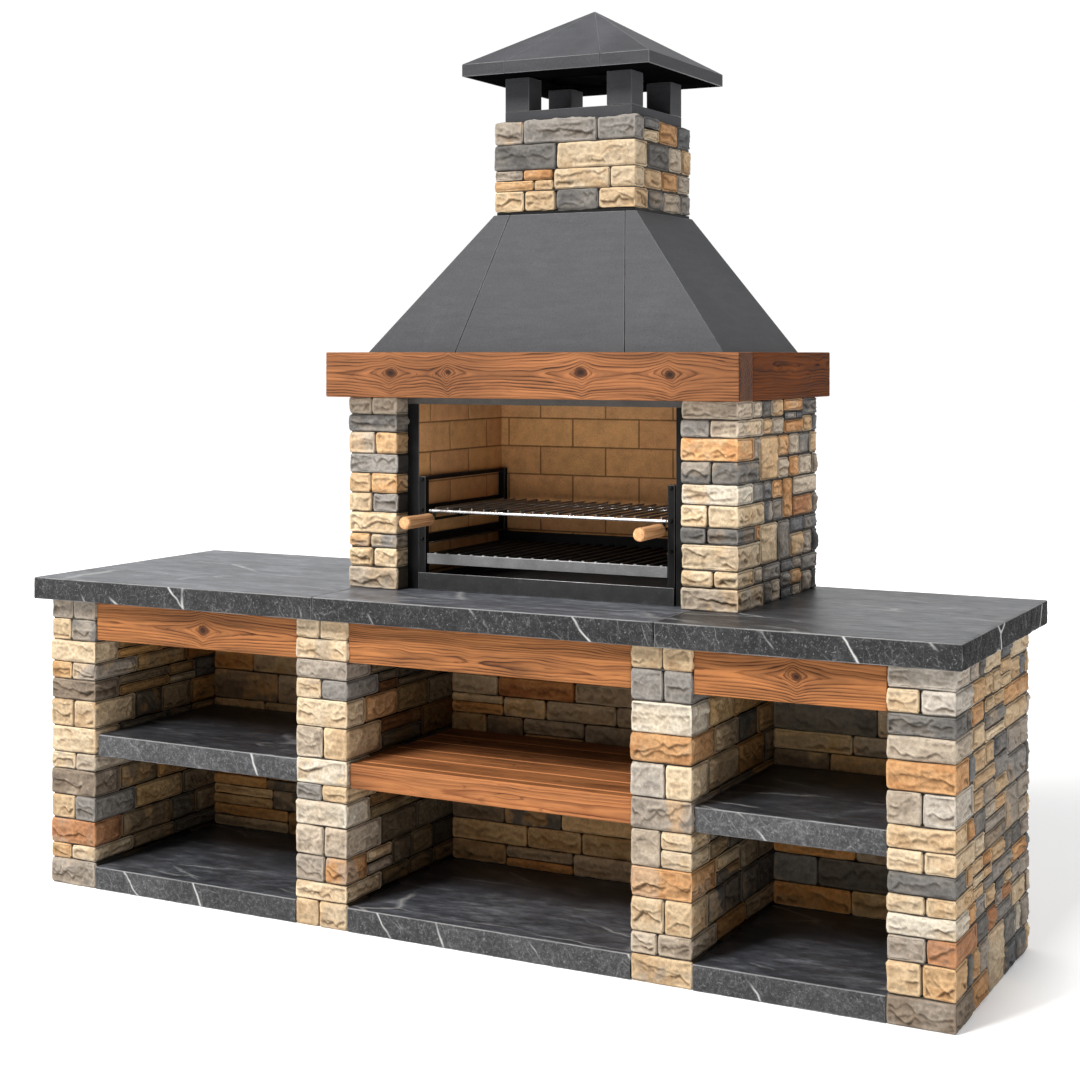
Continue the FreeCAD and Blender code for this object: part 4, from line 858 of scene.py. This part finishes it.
def slabs(name):
    b = boxes(name)[0]
    lo, hi = b[:3], b[3:]
    r = 0.0035
    cell = 0.0075 * CELL
    L = [spread(lo[k], hi[k], cell, r) for k in range(3)]
    p, q, ring = lattice(L, [False] * 6)
    P, n = rounded(p, lo, hi, r)
    o = np.array([1.7, 3.1, 4.9]) * (1 + len(name))
    side = np.clip(np.maximum(np.abs(n[:, 0]), np.abs(n[:, 1])), 0, 1)
    edge = np.clip((1 - np.abs(n).max(1)) / 0.29, 0, 1)
    a = fbm(P / 0.028 + o, 3)
    f = vnoise(P / 0.0095 + o + 4)
    big = vnoise(P / 0.12 + o + 8)
    chips = np.clip(vnoise(P / 0.015 + o + 12) - 0.25, 0, 1) * edge
    d = side * (0.0014 * a + 0.0007 * f) + (1 - side) * 0.00025 * big - 0.0028 * chips
    V = P + n * np.clip(d, -0.004, 0.0018)[:, None]
    up = smooth(0.1, 0.5, n[:, 2])
    # paler chipped edges, stronger where they face up and halved on the right-hand ends: partly wear, partly painted
    # highlight
    worn = edge * np.clip(0.34 + 0.62 * up + 0.55 * vnoise(P / np.array([0.06, 0.06, 0.03]) + o + 2), 0, 1)
    soup = Soup()
    tops, fronts = SLAB_LIGHT_TONE[name]
    # painted shade: the right-hand ends darker still, a fifth of the fronts
    lift = np.where(side > 0.6, np.where(n[:, 0] > 0.6, 0.20 * fronts, fronts), tops)
    soup.add(V, q, ring, worn=worn * np.where(n[:, 0] > 0.4, 0.5, 1.0), side=smooth(0.5, 0.9, side), lift=lift)
    soup.build("slab_" + name, SLATE, True, "masonry", name)


# ------------------------------------------------------------------ boards
def board(soup, b, axis, seed, knots=(), face=1, cell=0.0036, r=0.0035, ring_w=0.0068, wob=1.0, rub=1.0, dim=0.0):
    """One board: length along axis (0 or 1); its best face is -y (face 1), +x (face 0) or +z (face 2).
    knots: (length position, cross position, radius) on that face."""
    lo, hi = b[:3], b[3:]
    cell *= CELL
    L = [spread(lo[k], hi[k], cell * (1.6 if k == axis else 1.0), r) for k in range(3)]
    p, q, ring = lattice(L, [False] * 6)
    P, n = rounded(p, lo, hi, r)
    l = P[:, axis]
    # depth is measured from the best face; cross runs along that face
    if face == 2:
        cross_k, depth = 1 - axis, hi[2] - P[:, 2]
    else:
        cross_k = 2
        depth = (P[:, 1] - lo[1]) if face == 1 else (hi[0] - P[:, 0])
    c = P[:, cross_k].copy()
    c0, c1 = lo[cross_k], hi[cross_k]
    o = np.array([seed * 3.7, seed * 1.9, seed * 5.3])
    mask = np.zeros(len(P))
    pull = np.zeros(len(P))
    for kl, kc, kr in knots:
        dl = np.abs(l - kl + 0.012 * vnoise(P / 0.045 + o + 23))
        pull = np.maximum(pull, np.exp(-dl / (7.5 * kr)) * (0.75 + 0.25 * np.exp(-(dl / (2.2 * kr)) ** 2)))
        dk = np.sqrt(((l - kl) / 1.35) ** 2 + (c - kc) ** 2) / kr
        dk = dk * (1 + 0.22 * vnoise(P / 0.008 + o))
        mask = np.maximum(mask, np.clip(1.25 - dk, 0, 1) * np.exp(-depth / 0.03))
    q3 = np.stack([l, c, depth], -1)
    wobble = 0.010 * vnoise(q3 * np.array([2.0, 8, 8]) + o) + 0.0045 * vnoise(q3 * np.array([6.5, 26, 26]) + o + 7) + 0.0016 * vnoise(q3 * np.array([22, 60, 60]) + o + 13)
    if len(knots):
        cc = float(np.mean([k[1] for k in knots]))
        a = 0.26 * (c1 - c0)
        off = np.abs(c - cc + 0.45 * wobble * wob)
        flow = (off ** 1.5 + a ** 1.5 * (1 - pull) + (0.6 * np.abs(depth)) ** 1.5) ** (1 / 1.5) + 0.9 * wobble * wob
    else:
        cc = c0 + (c1 - c0) * (0.5 + 0.25 * math.sin(seed * 2.3))
        flow = np.hypot(depth + 0.030 + 0.010 * math.sin(seed), c - cc + 0.5 * wobble * wob) + 1.5 * wobble * wob
    grain = flow / ring_w
    edge = np.clip((1 - np.abs(n).max(1)) / 0.29, 0, 1)
    fib = vnoise(np.stack([l * 14, c * 260, depth * 260], -1) + o + 3)
    nick = np.clip(vnoise(P / np.array([0.05 if k == axis else 0.012 for k in range(3)]) + o + 5) - 0.35, 0, 1) * edge
    d = 0.00045 * fib - 0.0020 * nick - 0.0006 * mask
    V = P + n * d[:, None]
    wuvw = np.stack([l, flow + 0.35 * c, depth], -1) + seed * np.array([0.37, 0.11, 0.053])
    # paler edges, more on the top ones: partly wear, partly painted highlight; right-facing faces darkened through dim
    # as painted shade
    top = np.clip(n[:, 2], 0, 1) * (1 - np.clip(n[:, 2] - 0.93, 0, 0.07) / 0.07)
    soup.add(V, q, ring, grain=grain, knot=mask, wuvw=wuvw, worn=rub * (edge * 0.5 + 0.5 * edge * top), dim=dim * smooth(0.45, 0.85, n[:, 0]))


def boards(node, mat, slot, axis, seed, knots=(), face=1, **kw):
    soup = Soup()
    for i, b in enumerate(boxes(node)):
        board(soup, b, axis, seed + 1.3 * i, knots if i == 0 else (), face, **kw)
    soup.build("timber_" + node, mat, True, "masonry", node)


# ------------------------------------------------------------------ bevelled metal from the solids
def bevelled(node, mat, width=0.001, segs=2, body="masonry", edge=None, rest=None):
    """rest: (y, material) for the solids that lie behind y."""
    bm = bmesh.new()
    for v, t in solids(node):
        far = rest is not None and v[:, 1].mean() > rest[0]
        one = bmesh.new()
        vs = [one.verts.new(p) for p in v]
        for a, b_, c_ in t.tolist():
            try:
                one.faces.new((vs[a], vs[b_], vs[c_]))
            except ValueError:
                pass
        bmesh.ops.recalc_face_normals(one, faces=one.faces[:])
        bmesh.ops.dissolve_limit(one, angle_limit=math.radians(1.0), verts=one.verts[:], edges=one.edges[:])
        for f in one.faces:
            f.smooth = False
        sharp = [e for e in one.edges if len(e.link_faces) == 2 and e.calc_face_angle(0) > math.radians(12)]
        res = bmesh.ops.bevel(one, geom=sharp, offset=width, offset_type="OFFSET", segments=segs, profile=0.5, affect="EDGES", clamp_overlap=True)
        for f in res["faces"]:
            f.smooth = True
            f.material_index = 1 if edge else 0
        if far:
            for f in one.faces:
                f.material_index = 2
        tmp = bpy.data.meshes.new("tmp")
        one.to_mesh(tmp)
        one.free()
        bm.from_mesh(tmp)
        bpy.data.meshes.remove(tmp)
    me = bpy.data.meshes.new("m_" + node)
    bm.to_mesh(me)
    bm.free()
    return finish_piece(me, "m_" + node, [x for x in (mat, edge, rest and rest[1]) if x], body, node)


def turned(soup, axis, centre, profile, seg=24, **attr):
    """A body of revolution: profile is (position along the axis, radius)."""
    k = axis
    u, v = (k + 1) % 3, (k + 2) % 3
    a = np.arange(seg) * 2 * math.pi / seg
    rings = []
    for pos, rad in profile:
        p = np.empty((seg, 3))
        p[:, k] = pos
        p[:, u] = centre[u] + rad * np.cos(a)
        p[:, v] = centre[v] + rad * np.sin(a)
        rings.append(p)
    vs = np.concatenate(rings)
    quads = []
    for i in range(len(profile) - 1):
        for j in range(seg):
            j2 = (j + 1) % seg
            quads.append((i * seg + j, i * seg + j2, (i + 1) * seg + j2, (i + 1) * seg + j))
    first = list(range(seg))[::-1]
    last = [(len(profile) - 1) * seg + j for j in range(seg)]
    soup.add(vs, np.array(quads), [first, last], **{key: fn(vs) for key, fn in attr.items()})


def rods(node, mat, body, seg=20):
    soup = Soup()
    for v, t in solids(node):
        lo, hi = v.min(0), v.max(0)
        d = hi - lo
        if len(v) <= 8:
            L = [spread(lo[k], hi[k], 0.02, 0.0008) for k in range(3)]
            p, q, ring = lattice(L, [False] * 6)
            p, n = rounded(p, lo, hi, 0.0008)
            soup.add(p, q, ring)
            continue
        k = int(np.argmax(d)) if max(d) > 2.2 * min(d) else int(np.argmin(d))
        r = d[(k + 1) % 3] / 2
        c = (lo + hi) / 2
        e = min(0.8 * r, 0.45 * d[k])
        a, b = lo[k], hi[k]
        prof = [(a, 0.25 * r), (a + 0.06 * e, 0.52 * r), (a + 0.25 * e, 0.78 * r), (a + 0.55 * e, 0.94 * r), (a + e, r)]
        prof += [(a + b - x, y) for x, y in prof[::-1]]
        turned(soup, k, c, prof, seg)
    return soup.build("rods_" + node, mat, True, body, node)


def bricks(node, sheet_axis, rng_seed, back):
    """Brick slips with eased edges, and darker pointing just behind their faces."""
    rng = np.random.default_rng(rng_seed)
    soup = Soup()
    bs = boxes(node)
    for b in bs:
        lo, hi = b[:3], b[3:]
        r = 0.0018
        L = [spread(lo[k], hi[k], 0.012 * CELL, r) if hi[k] - lo[k] > 0.04 else rim(lo[k], hi[k], True, True, r) for k in range(3)]
        p, q, ring = lattice(L, [False] * 6)
        P, n = rounded(p, lo, hi, r)
        edge = np.clip((1 - np.abs(n).max(1)) / 0.29, 0, 1)
        o = rng.uniform(0, 50, 3)
        d = 0.00035 * fbm(P / 0.02 + o, 2) - 0.0012 * np.clip(vnoise(P / 0.011 + o) - 0.3, 0, 1) * edge
        # the side linings are set darker than the rear one: painted shade; the rest of the tone varies at random
        tone = rng.uniform(0.90, 1.08) * (0.90 if sheet_axis == 0 else 0.98)
        col = np.tile(lin((220, 165, 112)) * tone * np.array([1, rng.uniform(0.97, 1.02), rng.uniform(0.93, 1.03)]), (len(P), 1))
        col = col * (1 - 0.14 * edge[:, None])
        soup.add(P + n * d[:, None], q, ring, col=col)
    for lo, hi in back(bs):
        L = [spread(lo[k], hi[k], 0.05, 0.0004) for k in range(3)]
        p, q, ring = lattice(L, [False] * 6)
        soup.add(p, q, ring, col=np.tile(lin((142, 102, 66)), (len(p), 1)))
    soup.build("bricks_" + node, BRICK, True, "masonry", node)


# ================================================================== build
for n in WALLS:
    facing(n)

for n in ("left_floor_slab", "middle_floor_slab", "right_floor_slab", "left_shelf_slab", "right_shelf_slab", "left_counter_slab", "middle_counter_slab", "right_counter_slab"):
    slabs(n)

# the front beam's right-hand end is darkened through dim: painted shade
boards("mantel_front_beam", MANTEL, "timber", 0, 1.0, ((-0.244, 1.501, 0.011), (-0.063, 1.504, 0.006), (0.334, 1.505, 0.012), (0.586, 1.501, 0.010)), dim=1.0)
boards("mantel_side_beams", MANTEL_SIDES_SHADED, "timber", 1, 2.2, ((-0.02, 1.50, 0.010), (0.25, 1.49, 0.008)), face=0)
boards("left_apron_board", TIMBER, "timber", 0, 3.1, ((-0.798, 0.775, 0.012),))
boards("middle_apron_board", TIMBER, "timber", 0, 4.7, (), ring_w=0.0056, wob=0.62)
boards("right_apron_board", TIMBER, "timber", 0, 5.9, ((0.96, 0.785, 0.009),))
boards("apron_cleats", TIMBER, "timber", 1, 6.3, (), cell=0.012)
boards("wood_shelf_fascia", SHELF, "shelf_timber", 0, 7.1, (), ring_w=0.0050, wob=0.40, rub=1.5)
boards("wood_shelf_slats", SHELF, "shelf_timber", 0, 8.3, (), face=2, cell=0.006, ring_w=0.0052, wob=0.5, rub=2.2)
boards("wood_shelf_bearers", SHELF, "shelf_timber", 1, 9.9, (), face=2, cell=0.012)


def behind_sides(bs):
    out = []
    for left in (True, False):
        s = bs[bs[:, 0] < 0.1] if left else bs[bs[:, 0] > 0.1]
        lo, hi = s[:, :3].min(0) + 0.001, s[:, 3:].max(0) - 0.001
        if left:
            hi[0] += 0.0002
        else:
            lo[0] -= 0.0002
        out.append((lo, hi))
    return out


def behind_rear(bs):
    lo, hi = bs[:, :3].min(0) + 0.001, bs[:, 3:].max(0) - 0.001
    lo[1] -= 0.0002
    return [(lo, hi)]


def under_tiles(bs):
    lo, hi = bs[:, :3].min(0) + 0.001, bs[:, 3:].max(0) - 0.001
    hi[2] -= 0.0008
    return [(lo, hi)]


bricks("side_firebrick_linings", 0, 21, behind_sides)
bricks("rear_firebrick_lining", 1, 22, behind_rear)
bricks("hearth_tiles", 2, 23, under_tiles)

bevelled("steel_jambs", BLACK, 0.0010, edge=BLACK_EDGE)
bevelled("steel_lintel", LINTEL, 0.0012)
for n in ("left_grill_ladder", "right_grill_ladder"):
    bevelled(n, BLACK, 0.0012, edge=BLACK_EDGE)
bevelled("shelf_ledger_bars", BLACK, 0.0010)
front_y = min(v[:, 1].min() for v, t in solids("fire_grate_frame"))
bevelled("fire_grate_frame", GREY, 0.0012, body="fire_grate", edge=GREY_EDGE, rest=(front_y + 0.02, BLACK))
bars = rods("fire_grate_bars", BLACK, "fire_grate").data
bars.materials.append(GREY_EDGE)            # their front ends take the pale edge steel: painted highlights
for f in bars.polygons:
    f.material_index = int(f.center.y < front_y + 0.022)
bevelled("ash_tray", TRAY, 0.0008, body="ash_tray_drawer", edge=GREY_EDGE)
rods("ladder_bolts", BLACK, "masonry", 16)
rods("cooking_grate_frame", CHROME, "cooking_grate")
rods("cooking_grate_rods", ROD, "cooking_grate", 16)
rods("grate_handle_rods", BLACK, "cooking_grate")

for n in ("left_wooden_grip", "right_wooden_grip"):
    lo, hi = [np.array(p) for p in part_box(n)]
    c, r = (lo + hi) / 2, (hi[0] - lo[0]) / 2
    y0, y1 = lo[1], hi[1]
    prof = [(0.0, 0.30), (0.0, 0.66), (0.006, 0.82), (0.020, 0.93), (0.042, 0.985), (0.075, 0.998), (0.16, 0.990), (0.40, 0.960), (0.62, 0.950), (0.80, 0.965), (0.90, 0.975), (0.950, 0.955), (0.982, 0.88), (0.997, 0.74), (1.0, 0.60)]
    prof = [(y0 + t * (y1 - y0), f * r) for t, f in prof]
    soup = Soup()
    turned(soup, 1, c, prof, 40, grain=lambda v: np.hypot(v[:, 0] - c[0] + 0.05, v[:, 2] - c[2]) / 0.0042 + 0.5 * vnoise(v * np.array([60, 14, 60])), knot=lambda v: np.zeros(len(v)), wuvw=lambda v: v[:, [1, 0, 2]], worn=lambda v: np.zeros(len(v)), dim=lambda v: np.zeros(len(v)))
    soup.build("grip_" + n, BEECH, True, "cooking_grate", n)

for n in ("hood_front_panels", "hood_left_panel", "hood_right_panel", "hood_back_panel"):
    bevelled(n, SHEET, 0.0016, 3, edge=SHEET_EDGE)
bevelled("hood_top_frame", BLACK, 0.001)
bevelled("cap_base_frame", POST, 0.0014, edge=POST_EDGE)
bevelled("cap_posts", POST, 0.0020, 3, edge=POST_EDGE)
bevelled("cap_soffit", MATT, 0.0008)
bevelled("cap_fascia", FASCIA, 0.0014, 3, edge=SHEET_EDGE)
bevelled("cap_roof_sheets", ROOF, 0.0014, 2, edge=SHEET_EDGE)

for n, mat in (("pier_cores", CONCRETE), ("base_back_wall_core", CONCRETE), ("firebox_wall_cores", CONCRETE), ("hood_bearing_kerbs", CONCRETE), ("mortar_beds", MORTAR), ("flue_liner", MORTAR)):
    me = NODES[n].data
    me.materials.clear()
    me.materials.append(mat)

# ------------------------------------------------------------------ stage, light and camera
bpy.ops.mesh.primitive_plane_add(size=60, location=(0, 0, -0.0005))
floor = bpy.context.object
floor.name = "floor"
fm = Mat("floor", Specular_IOR_Level=0.1)
fm.base(fm.ramp(fm.noise(1.2, 3.0), [(0.3, 0.90), (0.7, 0.93)]))
fm.rough(0.95)
# the floor glows, more with distance and most on the right-hand side where the key light's shadow falls: painted light
# over its shadow
fm.b.inputs["Emission Color"].default_value = (1, 1, 1, 1)
far = fm.nt.nodes.new("ShaderNodeVectorMath")
far.operation = "LENGTH"
fm.put(far.inputs[0], fm.co)
aside = fm.nt.nodes.new("ShaderNodeSeparateXYZ")
fm.put(aside.inputs[0], fm.co)
fm.put(fm.b.inputs["Emission Strength"], fm.math("ADD", fm.fit(far.outputs["Value"], 2.0, 7.0, 0.22, 0.60), fm.fit(aside.outputs[0], 1.36, 1.66, 0.0, 0.60)))
floor.data.materials.append(fm.m)

world = bpy.data.worlds.new("studio")
bpy.context.scene.world = world
world.use_nodes = True
wn = world.node_tree
bg = wn.nodes["Background"]
bg.inputs["Color"].default_value = (1, 1, 1, 1)
# white all round, dimmer on the right hand side so that the right faces fall off
side = wn.nodes.new("ShaderNodeSeparateXYZ")
wn.links.new(wn.nodes.new("ShaderNodeTexCoord").outputs["Generated"], side.inputs[0])
fall = wn.nodes.new("ShaderNodeMapRange")
fall.interpolation_type = "SMOOTHSTEP"
for i, x in enumerate((-0.1, 0.8, 1.02, 0.72)):
    fall.inputs[i + 1].default_value = x
wn.links.new(side.outputs[0], fall.inputs[0])
# and dimmer in front, where the key light stands
front = wn.nodes.new("ShaderNodeMapRange")
front.interpolation_type = "SMOOTHSTEP"
for i, x in enumerate((-0.45, 0.45, 0.42, 1.0)):
    front.inputs[i + 1].default_value = x
wn.links.new(side.outputs[1], front.inputs[0])
both = wn.nodes.new("ShaderNodeMath")
both.operation = "MULTIPLY"
wn.links.new(fall.outputs[0], both.inputs[0])
wn.links.new(front.outputs[0], both.inputs[1])
wn.links.new(both.outputs[0], bg.inputs["Strength"])


def area(name, loc, target, size, power, color=(1, 1, 1)):
    d = bpy.data.lights.new(name, "AREA")
    d.shape = "RECTANGLE"
    d.size, d.size_y = size
    d.energy = power
    d.color = color
    ob = bpy.data.objects.new(name, d)
    bpy.context.scene.collection.objects.link(ob)
    ob.location = loc
    v = np.array(target, float) - np.array(loc, float)
    ob.rotation_euler = (math.acos(-v[2] / np.linalg.norm(v)), 0, math.atan2(v[1], v[0]) - math.pi / 2)
    return ob


area("key", (-4.6, -9.7, 10.2), (0, 0, 0.9), (4.2, 4.2), 3000, (1.0, 0.985, 0.962))

cam = bpy.data.cameras.new("camera")
cam.sensor_width = 36.0
cam.lens = 62.42
cam.shift_x, cam.shift_y = -0.00099, -0.1724
cam.clip_end = 200
co = bpy.data.objects.new("camera", cam)
bpy.context.scene.collection.objects.link(co)
co.location = (2.4856, -4.6004, 1.5535)
co.rotation_euler = (math.radians(90), 0, math.radians(27.61))
bpy.context.scene.camera = co
bpy.context.scene.view_settings.view_transform = "Standard"
